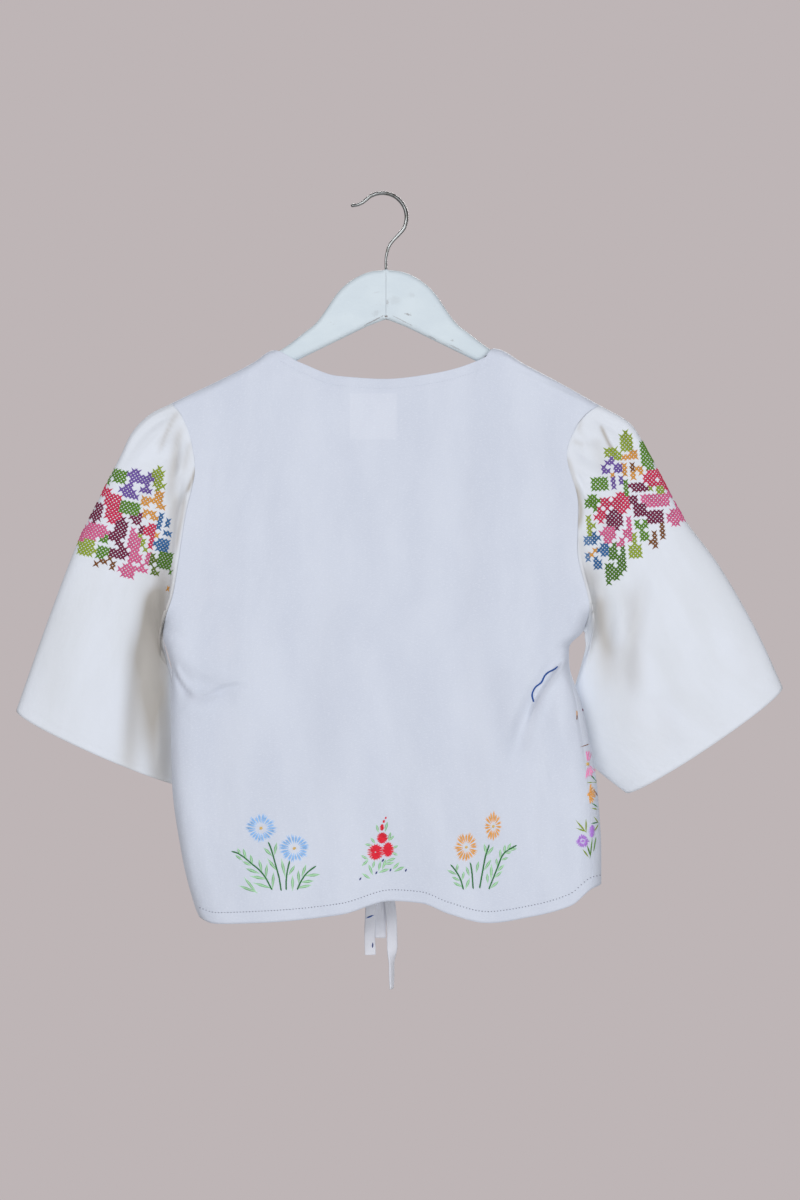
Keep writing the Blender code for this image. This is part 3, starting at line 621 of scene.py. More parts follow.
# Back
# creases are lines on the picture: path in pixels, width and height in millimetres, lean
backValues = {
    "rows": 230,
    "bandColumns": 14,
    "flatColumns": 170,
    "hemStitch": 0.0115,
    "neckStitch": 0.009,
    "stitchReach": 0.0016,
    "stitchDip": 0.00035,
    "pucker": 0.00022,
    "swell": 0.0009,
    # painted shade along folds and creases, and the thin dark line of the right side seam: path, width,
    # strength
    "shades": (
        (((568, 657), (563, 663), (556, 673), (549.5, 683), (541, 696), (535, 708), (531, 718)), 2.8, 0.5),
        (((545, 694), (536, 712), (529, 738), (523, 760)), 6, 0.22),
        (((500, 660), (502, 700), (504, 740)), 13, 0.12),
        (((174, 668), (179, 680), (187, 692), (196, 698)), 2.4, 0.6),
        (((184, 690), (193, 698), (208, 697), (222, 690)), 5, 0.28),
        (((567, 658), (571, 677), (574, 694), (577, 712), (580, 736), (588, 780), (595, 815), (600, 850)),
         1.3, 0.35),
        (((214, 455), (213, 490), (209, 520)), 4, 0.10),
        (((330, 560), (322, 700), (326, 860)), 16, 0.08),
        (((470, 430), (476, 680), (488, 880)), 14, 0.08),
    ),
    "creases": (
        (((567, 652), (552, 672), (537, 698), (525, 727), (516, 762)), 8, 2.6, 1.0),
        (((569, 654), (558, 668), (547, 683), (538, 698), (532, 710), (526, 730)), 2.4, 2.4, 0.9),
        (((562, 650), (568, 663), (571, 677), (574, 694), (577, 712), (580, 736)), 1.8, -0.8, 0.0),
        (((548, 760), (536, 790), (532, 830), (536, 880)), 10, -1.3, 0.0),
        (((556, 640), (522, 668), (504, 705), (500, 745), (508, 800)), 17, -3.2, 0.0),
        (((575, 640), (566, 660), (560, 700), (566, 760)), 9, 1.6, 0.0),
        (((172, 662), (177, 674), (184, 686), (191, 693), (197, 696)), 2.8, 3.0, 0.9),
        (((194, 696), (203, 695), (213, 691), (226, 685), (250, 681)), 4.0, 2.0, 0.8),
        (((168, 662), (176, 672), (186, 687), (194, 696)), 6, -1.8, 0.0),
        (((163, 628), (172, 632), (186, 634)), 4, -1.4, 0.0),
        (((172, 648), (190, 668), (214, 674), (240, 668)), 10, 1.6, 0.0),
        (((182, 704), (196, 712), (216, 708)), 8, 1.2, 0.0),
        (((213, 452), (214, 486), (209, 530)), 9, -0.9, 0.0),
        (((196, 470), (204, 520), (200, 590)), 10, 0.9, 0.0),
        (((330, 560), (322, 700), (326, 860)), 20, -0.9, 0.0),
        (((470, 520), (476, 680), (488, 880)), 14, -0.8, 0.0),
        (((424, 690), (418, 790), (412, 890)), 12, 0.8, 0.0),
        (((506, 361), (538, 377), (562, 388), (590, 400)), 2.6, -1.3, 0.0),
        (((545, 376), (566, 389), (584, 402)), 2.2, -1.0, 0.3),
        (((500, 353), (530, 369), (556, 381)), 3.0, 0.9, 0.0),
        (((520, 374), (548, 389), (574, 404)), 3.0, -0.8, 0.0),
        (((258, 358), (232, 374), (208, 386), (186, 397)), 2.6, -1.2, 0.0),
        (((240, 364), (214, 378), (190, 390)), 2.2, 0.9, 0.3),
        (((575, 590), (568, 610), (571, 630)), 5, -1.2, 0.5),
    ),
}


def stitchDip(values, above, across, down, seed):
    # the cloth sinks along its hem's stitching and puckers there
    line = np.exp(-(((above - values["hemStitch"]) / values["stitchReach"]) ** 2))
    return line * (values["stitchDip"] + values["pucker"] * unevenness(across, down, 7, seed))


def backExtra(points):
    across, down = pictureOf(points)
    height = creaseHeight(across, down, backValues["creases"])
    height += backValues["swell"] * unevenness(across, down, 46, 3)
    above = points[..., 2] - readLine(bodyForm["hem"], points[..., 0])
    height -= stitchDip(backValues, above, across, down, 5)
    height += 0.0003 * smooth((backValues["hemStitch"] - above) / 0.002)
    neckLine = readLine(bodyForm["top"], points[..., 0])
    inNeck = smooth((0.112 - np.abs(points[..., 0])) / 0.01)
    belowNeck = neckLine - points[..., 2]
    height -= inNeck * np.exp(-(((belowNeck - backValues["neckStitch"]) / 0.0013) ** 2)) * 0.0004
    height += 0.0006 * inNeck * unevenness(across, down, 26, 9) * np.exp(-((belowNeck / 0.02) ** 2))
    return height


def panelRowSteps(count):
    lower = np.linspace(0, 0.5, count // 2 + 1)[:-1]
    upper = 1 - 0.5 * np.linspace(1, 0, count - count // 2 + 1) ** 1.25
    return np.concatenate([lower, upper])


def makeBack():
    bands = np.concatenate([[0, 0.02], np.linspace(0.02, 1, backValues["bandColumns"])[1:]])
    flat = np.linspace(0, 1, backValues["flatColumns"] + 1)
    count = len(bands) - 1
    left = np.concatenate([bands[:-1], np.ones(len(flat) + count)])
    middle = np.concatenate([np.zeros(count), flat, np.ones(count)])
    right = np.concatenate([np.ones(count + len(flat)), bands[::-1][1:]])
    row, _ = np.meshgrid(panelRowSteps(backValues["rows"]), left, indexing="ij")
    columns = [np.broadcast_to(column, row.shape) for column in (left, middle, right)]
    grid = backPoints(*columns, row, backExtra)
    above = grid[..., 2] - readLine(bodyForm["hem"], grid[..., 0])
    thick = smooth((backValues["hemStitch"] + 0.001 - above) / 0.002)
    # painted shade along the lines of the back's shades table
    paintedShade = shadeTone(*pictureOf(grid), backValues["shades"])
    return grid, clothPiece("back_panel", grid, panelWall, bodyCloth, thick=thick, paintedShade=paintedShade)


backGrid, backPanel = makeBack()
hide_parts("back")
print("stage: back")


# Fronts
frontValues = {
    "rows": 170,
    "bandColumns": 14,
    "flatColumns": 76,
    "hemStitch": 0.0115,
    "stitchReach": 0.0016,
    "stitchDip": 0.00035,
    "pucker": 0.0002,
    "swell": 0.0006,
    "creases": (
        (((208, 640), (270, 760), (360, 870)), 10, 1.6, 0.4),
        (((226, 600), (300, 730), (372, 862)), 8, -1.6, 0.0),
        (((560, 620), (490, 750), (398, 868)), 10, 1.6, -0.4),
        (((545, 590), (470, 720), (394, 860)), 8, -1.6, 0.0),
        (((320, 840), (350, 866), (376, 880)), 6, 1.4, 0.0),
        (((450, 838), (420, 866), (394, 880)), 6, 1.4, 0.0),
        (((260, 470), (264, 540), (280, 620)), 12, 0.9, 0.0),
        (((520, 470), (516, 540), (500, 620)), 12, 0.9, 0.0),
        (((340, 900), (360, 892), (384, 886)), 5, -1.2, 0.0),
        (((440, 902), (412, 892), (390, 886)), 5, -1.2, 0.0),
    ),
}


def frontExtra(points):
    across, down = pictureOf(points, 1)
    height = creaseHeight(across, down, frontValues["creases"])
    height += frontValues["swell"] * unevenness(across, down, 50, 13)
    above = points[..., 2] - readLine(bodyForm["hem"], points[..., 0]) - bodyForm["frontHemLift"]
    return height - stitchDip(frontValues, above, across, down, 15)


def makeFront(side):
    first = [0, 0.02] if side < 0 else [0, 0.012]
    bands = np.concatenate([first, np.linspace(first[1], 1, frontValues["bandColumns"])[1:]])
    flatSteps = np.linspace(0, 1, frontValues["flatColumns"] + 1)
    band = np.concatenate([bands[:-1], np.ones(len(flatSteps))])
    flat = np.concatenate([np.zeros(len(bands) - 1), flatSteps])
    row, _ = np.meshgrid(panelRowSteps(frontValues["rows"]), band, indexing="ij")
    columns = [np.broadcast_to(column, row.shape) for column in (band, flat)]
    grid = frontPoints(side, *columns, row, frontExtra)
    above = grid[..., 2] - readLine(bodyForm["hem"], grid[..., 0]) - bodyForm["frontHemLift"]
    thick = smooth((frontValues["hemStitch"] + 0.001 - above) / 0.002)
    thick = np.maximum(thick, smooth((flat[None, :] - 0.93) / 0.03))
    name = "front_panel_left" if side < 0 else "front_panel_right"
    if side < 0:
        grid, thick = grid[:, ::-1], thick[:, ::-1]
    return grid, clothPiece(name, grid, panelWall, plainCloth, thick=thick)


frontGrids = {}
for side, node in ((-1, "front_left"), (1, "front_right")):
    frontGrids[side], panel = makeFront(side)
    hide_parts(node)
print("stage: fronts")


# Sleeves
# a sleeve's two silhouette lines: share of its length, x, y, z
sleeveValues = {
    "rows": 112,
    "ring": 290,
    "length": 0.33,
    "outer": {
        -1: ((0.00, -0.214, 0.000, -0.208), (0.07, -0.236, 0.001, -0.219), (0.14, -0.254, 0.002, -0.237),
             (0.22, -0.266, 0.003, -0.261), (0.35, -0.287, 0.004, -0.303), (0.49, -0.308, 0.006, -0.345),
             (0.70, -0.335, 0.008, -0.414), (1.00, -0.371, 0.010, -0.515)),
        1: ((0.00, 0.213, 0.000, -0.210), (0.11, 0.245, 0.001, -0.229), (0.22, 0.264, 0.003, -0.260),
            (0.43, 0.298, 0.005, -0.322), (0.60, 0.333, 0.007, -0.369), (0.83, 0.373, 0.009, -0.438),
            (1.00, 0.398, 0.010, -0.492)),
    },
    "inner": {
        -1: ((0.00, -0.223, 0.000, -0.441), (0.08, -0.227, 0.007, -0.453), (0.20, -0.225, 0.026, -0.472),
             (0.35, -0.211, 0.038, -0.495), (0.55, -0.203, 0.043, -0.526), (0.78, -0.199, 0.044, -0.560),
             (1.00, -0.198, 0.044, -0.593)),
        1: ((0.00, 0.197, 0.000, -0.436), (0.10, 0.200, 0.005, -0.450), (0.22, 0.197, 0.018, -0.468),
            (0.40, 0.190, 0.031, -0.496), (0.60, 0.186, 0.038, -0.526), (0.78, 0.190, 0.040, -0.552),
            (0.90, 0.213, 0.038, -0.576), (1.00, 0.242, 0.034, -0.599)),
    },
    "depth": ((0.0, 0.018), (0.3, 0.023), (0.6, 0.025), (1.0, 0.022)),
    "fullness": 0.85,
    "hemBow": 0.009,
    "armholeFade": 0.4,
    "seamBand": 0.003,
    "tuck": 0.0011,
    "hemTurn": 0.009,
    # angle round the cap, width, height, share of the sleeve's length
    "gathers": (
        (-1.30, 0.12, -0.0035, 0.40), (-1.06, 0.10, 0.0030, 0.30), (-0.84, 0.10, -0.0030, 0.36),
        (-0.60, 0.11, 0.0035, 0.26), (-0.36, 0.09, -0.0025, 0.30), (0.34, 0.10, -0.0025, 0.28),
        (0.58, 0.11, 0.0032, 0.32), (0.83, 0.10, -0.0030, 0.30), (1.08, 0.11, 0.0030, 0.36),
        (1.32, 0.12, -0.0032, 0.34),
    ),
    "smallGathers": 44,
    "smallGatherHeight": 0.0009,
    # how much painted shade the crease troughs give on each sleeve, and the trough depth in metres that gives
    # full painted shade
    "paintedShadeShare": {-1: 0.9, 1: 0.6},
    "paintedShadeDepth": 0.007,
    # painted shade along the sleeve's troughs and gathers, where the cloth turns away from the light: path,
    # width, strength
    "shades": {
        -1: (
            (((155, 585), (150, 622), (147, 655), (148, 680)), 9, 0.90),
            (((166, 540), (158, 590), (149, 640), (148, 685), (152, 715)), 13, 0.42),
            (((170, 560), (162, 620), (156, 680), (155, 745)), 12, 0.30),
            (((151, 670), (154, 725), (157, 765), (158, 810)), 11, 0.58),
            (((137, 625), (132, 690), (129, 735), (131, 800)), 9, 0.44),
            (((169, 630), (166, 690), (167, 740), (167, 800)), 7, 0.40),
            (((181, 422), (177, 442), (175, 460), (171.5, 482), (170, 506)), 5, 0.36),
            (((195, 488), (192.4, 513), (190, 536), (185, 558)), 3.2, 0.40),
            (((180, 408), (171.6, 422.6), (164.5, 438.6), (158, 456)), 2.4, 0.45),
            (((191, 440), (186, 459), (183, 474)), 2.6, 0.28),
            (((198, 464), (193, 478), (186, 495)), 1.7, 1.0),
            (((186, 492), (182.8, 513.5), (178.8, 534), (175.5, 556)), 2.0, 0.50),
            (((177, 490), (173, 525), (168, 565)), 6, 0.34),
        ),
        1: (
            (((600, 592), (601, 626), (607, 645), (612, 662)), 7, 0.38),
            (((588, 556), (596, 600), (603, 650), (612, 705)), 12, 0.24),
            (((630, 580), (634, 640), (636, 705)), 9, 0.26),
            (((622, 640), (628, 690), (634, 740)), 14, 0.12),
            (((600, 424), (605.8, 437), (609.8, 445), (615, 452)), 1.7, 0.95),
            (((575, 482), (579.5, 501), (580.6, 514), (577, 534)), 2.8, 0.85),
            (((566, 455), (572.3, 473.7), (577, 490)), 2.4, 0.40),
            (((584.5, 408), (580.3, 422.6), (578.7, 436)), 2.2, 0.28),
            (((572, 441), (584, 445)), 2.2, 0.25),
            (((594, 436), (600, 455), (604, 475)), 7, 0.22),
            (((577, 530), (583, 556), (590, 590)), 6, 0.28),
        ),
    },
    "creases": {
        -1: (
            (((175, 408), (168, 429), (160, 441), (156, 453)), 2.4, -2.4, 0.0),
            (((178, 409), (171, 428), (164, 444), (158, 462)), 3.0, 1.5, 0.0),
            (((182, 409), (173, 429), (168, 442), (163, 458)), 2.2, -1.8, 0.0),
            (((182, 424), (178, 442), (175, 460), (171, 484)), 4.5, -2.6, 0.0),
            (((187, 424), (184, 442), (181, 462), (178, 484)), 3.6, 1.8, 0.0),
            (((191, 436), (186, 452), (179, 470), (174, 492)), 3.4, 1.8, 0.0),
            (((197, 464), (190, 484), (184, 500), (180, 524), (176, 556)), 2.6, -3.0, -0.4),
            (((197, 476), (190, 500), (186, 526), (181, 560)), 3.6, 2.6, 0.0),
            (((183, 446), (176, 480), (168, 530), (160, 580)), 9, -3.2, 0.0),
            (((163, 560), (152, 600), (141, 640), (134, 690), (131, 770)), 13, -6.2, 0.35),
            (((168, 600), (160, 660), (152, 712), (148, 772)), 12, -4.4, 0.0),
            (((150, 480), (138, 560), (118, 640), (106, 745)), 20, 3.0, 0.0),
            (((184, 566), (180, 610), (172, 660), (166, 720)), 6, 1.8, 0.0),
            (((60, 600), (52, 660), (48, 720)), 14, -1.0, 0.0),
            (((158, 690), (158, 730), (159, 776)), 4, 1.5, 0.0),
        ),
        1: (
            (((600, 424), (608, 444), (616, 456), (628, 466)), 2.4, -2.6, 0.0),
            (((604, 412), (614, 424), (626, 442)), 3.6, 1.6, 0.0),
            (((578, 424), (584, 438), (590, 452)), 2.4, -1.6, 0.0),
            (((572, 436), (580, 446), (586, 462)), 2.6, -1.2, 0.0),
            (((588, 420), (594, 434), (602, 452)), 3.0, 1.4, 0.0),
            (((566, 452), (575, 478), (580, 502), (579, 534)), 3.2, -3.2, 0.0),
            (((573, 462), (583, 490), (586, 516)), 4.5, 1.6, 0.0),
            (((586, 560), (597, 596), (606, 642), (613, 690)), 11, -5.0, 0.0),
            (((646, 566), (644, 606), (631, 650), (628, 706)), 10, -3.6, -0.3),
            (((616, 578), (622, 612), (620, 652)), 9, 2.6, 0.0),
            (((575, 548), (584, 584), (590, 625)), 6, 2.0, 0.0),
            (((655, 690), (662, 720), (668, 760)), 16, -1.6, 0.0),
            (((740, 640), (752, 668), (762, 690)), 14, -1.2, 0.0),
        ),
    },
}


def sleeveEdge(side, face, down):
    # the panel's own edge round one face of the armhole, 0 at the shoulder tip and 1 at the armpit
    row = 1 - 0.5 * down
    nothing, everything = np.zeros_like(row), np.ones_like(row)
    if face < 0:
        left, right = (nothing, everything) if side < 0 else (everything, nothing)
        flat = nothing if side < 0 else everything
        return backPoints(left, flat, right, row)
    return frontPoints(side, nothing, nothing, row)


def seamDirection(side, points):
    along = np.gradient(points[:, [0, 2]], axis=0)
    normal = np.stack([-along[:, 1], np.zeros(len(points)), along[:, 0]], axis=-1) * side
    normal = normal / np.maximum(np.linalg.norm(normal, axis=1, keepdims=True), 1e-9)
    slope = np.array([side, 0, -bodyForm["shoulderSlope"]]) / math.hypot(1, bodyForm["shoulderSlope"])
    under = np.array([side, 0, -1.0]) / math.sqrt(2)
    lower = points[0, 2] - points[:, 2]
    upper = points[:, 2] - points[-1, 2]
    normal = mix(slope, normal, smooth(lower / (3 * bodyForm["shoulderRoll"]))[:, None])
    normal = mix(under, normal, smooth(upper / bodyForm["armpitRise"])[:, None])
    return normal / np.linalg.norm(normal, axis=1, keepdims=True)


def chordPoint(side, face, share, down):
    outer, inner = sleeveValues["outer"][side], sleeveValues["inner"][side]
    turned = (2 * np.sqrt(np.clip(down * (1 - down), 0, 1))) ** sleeveValues["fullness"]
    x, y, z = (mix(readLine(outer, share, axis), readLine(inner, share, axis), down) for axis in (1, 2, 3))
    y = y + face * turned * readLine(sleeveValues["depth"], share)
    z = z - sleeveValues["hemBow"] * smooth(share) * turned
    return np.stack([x, y, z], axis=-1)


def gatherHeight(side, face, share, down):
    angle = face * np.arccos(1 - 2 * down)
    height = np.zeros(np.broadcast(share, down).shape)
    for centre, width, depth, length in sleeveValues["gathers"]:
        along = smooth(share / 0.05) * smooth(1 - share / length)
        height = height + depth * along * np.exp(-(((angle - centre) / width) ** 2))
    chance = np.random.default_rng(21 if side < 0 else 22)
    for _ in range(sleeveValues["smallGathers"]):
        centre = chance.uniform(-1.5, 1.5)
        length = chance.uniform(0.08, 0.26)
        width = chance.uniform(0.025, 0.05)
        lift = sleeveValues["smallGatherHeight"] * chance.uniform(-1.0, 1.0)
        along = smooth(share / 0.03) * smooth(1 - share / length)
        height = height + lift * along * np.exp(-(((angle - centre) / width) ** 2))
    return height


def sleeveHalf(side, face, down):
    seam = sleeveEdge(side, face, down)
    away = seamDirection(side, seam)
    above = smooth((seam[:, 2:] - seam[-1, 2]) / bodyForm["armpitRise"])
    gap = mix(bodyForm["armpitGap"], bodyForm["seamGap"], above)
    start = chordPoint(side, face, np.zeros_like(down), down)
    shares = np.concatenate([[0.05], np.linspace(0.05, 1, sleeveValues["rows"])[1:]])

    def ring(share):
        share = np.full_like(down, share)
        settled = smooth(share / sleeveValues["armholeFade"])[:, None]
        points = chordPoint(side, face, share, down) + (1 - settled) * (seam - start)
        outward = np.zeros_like(points)
        outward[:, 1] = face
        outward[:, 0] = side * np.clip(1 - 4 * down, 0, 1)
        outward = outward / np.linalg.norm(outward, axis=1, keepdims=True)
        return points + outward * gatherHeight(side, face, share, down)[:, None]

    band = seam + away * sleeveValues["seamBand"]
    first = ring(shares[0])
    under = np.zeros_like(seam)
    under[:, 1] = -face * np.minimum(sleeveValues["tuck"], np.abs(seam[:, 1]) * 0.5)
    rows = [
        seam - away * 0.0012 + under * 1.3,
        seam + away * gap * 0.5 + under,
        seam + away * 0.0011 + under * 0.25,
        band,
    ]
    rows += [mix(band, first, step) for step in (0.25, 0.5, 0.75)]
    seamRows = len(rows)
    rows += [ring(share) for share in shares]
    return np.array(rows), np.array([-1] * seamRows + list(shares))


def makeSleeve(side):
    count = sleeveValues["ring"] // 2
    angle = np.linspace(0, math.pi, count + 1)
    down = (1 - np.cos(angle)) / 2
    down = mix(down, angle / math.pi, 0.35)
    back, shares = sleeveHalf(side, -1, down)
    front, _ = sleeveHalf(side, 1, down)
    middle = (back + front) / 2
    roundness = np.sin(angle)[None, :] ** 0.8
    begun = smooth(np.clip(shares, 0, 1) / 0.07)[:, None]
    for face, half in ((-1, back), (1, front)):
        across, lower = pictureOf(half, face)
        if face > 0:
            across = across - side * 6
        height = creaseHeight(across, lower, sleeveValues["creases"][side]) * (1 if face < 0 else 0.75)
        height += 0.0011 * unevenness(across, lower, 60, 31 + side + 3 * face)
        half[..., 1] += face * height * roundness * begun
        fromHem = (1 - shares) * sleeveValues["length"]
        hemLine = np.exp(-((fromHem - sleeveValues["hemTurn"]) / 0.0014) ** 2)[:, None]
        pucker = 0.0004 + 0.00025 * unevenness(across, lower, 9, 41 + face)
        half[..., 1] -= face * hemLine * roundness * pucker
    grid = np.concatenate([middle[:, :1], back[:, 1:-1], middle[:, -1:], front[:, -2:0:-1]], axis=1)
    turned = smooth((shares - 1 + sleeveValues["hemTurn"] / sleeveValues["length"]) / 0.01)
    thick = np.repeat(turned[:, None], grid.shape[1], axis=1)
    across, lower = pictureOf(grid)
    # painted shade: the crease troughs and the listed shade lines darken the cloth, half as much on the front
    # half
    troughShade = -creaseHeight(across, lower, sleeveValues["creases"][side]) / sleeveValues["paintedShadeDepth"]
    troughShade = troughShade * sleeveValues["paintedShadeShare"][side]
    shades = shadeTone(across, lower, sleeveValues["shades"][side])
    paintedShade = np.maximum(troughShade, 0) * 0.45 + shades * np.where(grid[..., 1] < 0.03, 1, 0.5)
    name = "sleeve_cloth_left" if side < 0 else "sleeve_cloth_right"
    if side > 0:
        grid, thick, paintedShade = grid[:, ::-1], thick[:, ::-1], paintedShade[:, ::-1]
    return grid, clothPiece(name, grid, panelWall, sleeveCloth, True, thick, paintedShade)


sleeveGrids = {}
for side, node in ((-1, "sleeve_left"), (1, "sleeve_right")):
    sleeveGrids[side], sleeve = makeSleeve(side)
    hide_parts(node)
print("stage: sleeves")


# Facing, label and ties. A sheet's flat size is the cut of what shows.
trimValues = {
    "facingHalf": 0.086,
    "facingTop": 0.0008,
    "facingDrop": 0.010,
    "labelBox": (-0.036, 0.011, -0.245, -0.199),
    "facingSize": (0.176, 0.0105),
    "facingWall": 0.0007,
    "labelSize": (0.048, 0.047),
    "labelWall": 0.0006,
    "tieWidth": 0.011,
    "tieWall": 0.0014,
    "knotSize": (0.052, 0.034),
    "knotWall": 0.0008,
    "tieLengths": {"left": {"loop": 0.108, "end": 0.067}, "right": {"loop": 0.092, "end": 0.102}},
    "loops": {
        "left": ((-0.0055, -0.6993), (-0.0060, -0.7480), (0.0357, 0.0417)),
        "right": ((0.0090, -0.6870), (0.0480, -0.6965), (0.0335, 0.0410)),
    },
    "loopWaist": 0.62,
    # share of the length, x, y, z, turn in degrees
    "ends": {
        "left": (
            (0.0, -0.0130, 0.0320, -0.6993, 0), (0.3, -0.0155, 0.0320, -0.7180, 4),
            (0.7, -0.0165, 0.0325, -0.7440, 10), (1.0, -0.0160, 0.0330, -0.7645, 6),
        ),
        "right": (
            (0.0, 0.0025, 0.0320, -0.6993, 0), (0.3, 0.0055, 0.0325, -0.7300, 10),
            (0.6, 0.0065, 0.0340, -0.7570, 25), (0.78, 0.0066, 0.0350, -0.7740, 62),
            (1.0, 0.0068, 0.0355, -0.7990, 76),
        ),
    },
    "knotCentre": (-0.006, 0.0370, -0.690),
    "knotHalf": (0.0128, 0.0078, 0.0088),
}


def movedIn(x, z):
    points = liftedPoints(x, z, np.ones_like(x), -1, backExtra)
    points[..., 1] += 0.0014
    return points


def trimPiece(name, node, grid, wall, material, closed=False):
    piece = clothPiece(name, grid, wall, material, closed)
    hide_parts(node)


def tieEnd(rows):
    share = np.linspace(0, 1, 61)
    middle = np.stack([readLine(rows, share, axis) for axis in (1, 2, 3)], axis=-1)
    turn = np.radians(readLine(rows, share, 4))
    across = np.stack([np.cos(turn), np.sin(turn), np.zeros_like(turn)], axis=-1)
    outward = np.stack([-np.sin(turn), np.cos(turn), np.zeros_like(turn)], axis=-1)
    place = np.linspace(1, -1, 11)
    width = trimValues["tieWidth"] / 2 * (1 - 0.3 * np.exp(-((share / 0.07) ** 2)))
    grid = middle[:, None] + across[:, None] * (width[:, None] * place)[..., None]
    curl = 0.0006 * place[None, :] ** 2 + 0.0004 * np.sin(share * 19)[:, None] * place[None, :]
    gathered = 0.0006 * np.exp(-((share / 0.12) ** 2))[:, None] * np.cos(place * 9)[None, :]
    return grid + outward[:, None] * (curl + gathered)[..., None]


def tieLoop(start, end, depth):
    near, far = depth
    radius = (far - near) / 2
    whole = math.hypot(end[0] - start[0], end[1] - start[1])
    length = whole - radius
    run = np.linspace(0, length, 26)[:-1]
    turn = np.linspace(-math.pi / 2, math.pi / 2, 14)
    out = np.concatenate([run, length + radius * np.cos(turn), run[::-1]])
    bend = (near + far) / 2 + radius * np.sin(turn)
    y = np.concatenate([np.full(len(run), near), bend, np.full(len(run), far)])
    belly = np.sin(np.clip(out / length, 0, 1) * math.pi) * 0.0012
    y = y + np.where(y < (near + far) / 2, -belly * 0.3, -belly)
    runX, runZ = (end[0] - start[0]) / whole, (end[1] - start[1]) / whole
    middle = np.stack([start[0] + out * runX, y, start[1] + out * runZ], axis=-1)
    waist = trimValues["loopWaist"] + (1 - trimValues["loopWaist"]) * smooth(out / 0.016)
    place = np.linspace(1, -1, 11)
    across = np.array([-runZ, 0, runX])
    grid = middle[:, None] + across * (trimValues["tieWidth"] / 2 * waist[:, None] * place)[..., None]
    grid[..., 1] += 0.0007 * np.exp(-((out / 0.014) ** 2))[:, None] * np.cos(place * 8)[None, :]
    return grid


def knotGrid():
    x, y, z = trimValues["knotCentre"]
    halfX, halfY, halfZ = trimValues["knotHalf"]
    share = np.linspace(-1, 1, 33)[:, None]
    angle = np.linspace(0, 2 * math.pi, 57)[None, :-1]
    size = 0.05 + 0.95 * (1 - np.abs(share) ** 4) ** 0.55
    size = size * (1 - 0.06 * np.cos(share * 3.1) ** 8)
    folds = 1 - 0.07 * np.abs(np.sin(2.5 * angle + 2.2 * share)) * (1 - 0.5 * np.abs(share))
    round4 = (np.abs(np.cos(angle)) ** 3 + np.abs(np.sin(angle)) ** 3) ** (-1 / 3)
    reach = size * folds * round4
    return np.stack([x + halfX * share + 0 * angle, y + halfY * reach * np.cos(angle),
                     z + halfZ * reach * np.sin(angle)], axis=-1)


def makeTrim():
    facingX = np.linspace(-trimValues["facingHalf"], trimValues["facingHalf"], 91)
    drops = np.linspace(trimValues["facingDrop"], trimValues["facingTop"], 7)[:, None]
    facingZ = readLine(bodyForm["top"], facingX)[None, :] - drops
    facing = movedIn(np.broadcast_to(facingX, facingZ.shape), facingZ)
    trimPiece("neck_facing_cloth", "neck_facing", facing, trimValues["facingWall"], plainCloth)
    left, right, bottom, top = trimValues["labelBox"]
    label = movedIn(*np.meshgrid(np.linspace(left, right, 25), np.linspace(bottom, top, 25)))
    trimPiece("blank_label", "label", label, trimValues["labelWall"], labelCloth)
    ties = []
    for side in ("left", "right"):
        loop, end = tieLoop(*trimValues["loops"][side]), tieEnd(trimValues["ends"][side])
        for part, grid in (("loop", loop), ("end", end)):
            name = part + "_" + side
            trimPiece("bow_" + name, "tie_" + name, grid, trimValues["tieWall"], litTieCloth)
            ties.append(grid)
    trimPiece("tie_knot_cloth", "tie_knot", knotGrid(), trimValues["knotWall"], litTieCloth,
              closed=True)
    return ties


labelValues = {
    **plainClothValues,
    "colour": (0.80, 0.82, 0.85), "shadeColour": (0.78, 0.80, 0.83), "slubTint": 0.0, "sheen": 0.3,
    "weaveShadeColour": (0.70, 0.71, 0.74), "crumple": 0.0006, "paintedShade": 0.0, "stain": 0.0,
}
# painted light: the ties are the body's linen, coloured lighter to lift the shade that falls on them below
# the hem
litTieClothValues = {
    **plainClothValues,
    "colour": (0.72, 0.735, 0.79), "shadeColour": (0.68, 0.695, 0.755), "weaveShadeColour": (0.62, 0.62, 0.68),
}
labelCloth = clothMaterial("labelSatin", labelValues)
litTieCloth = clothMaterial("tieLinenLit", litTieClothValues)
tieGrids = makeTrim()
print("stage: facing, label and ties")


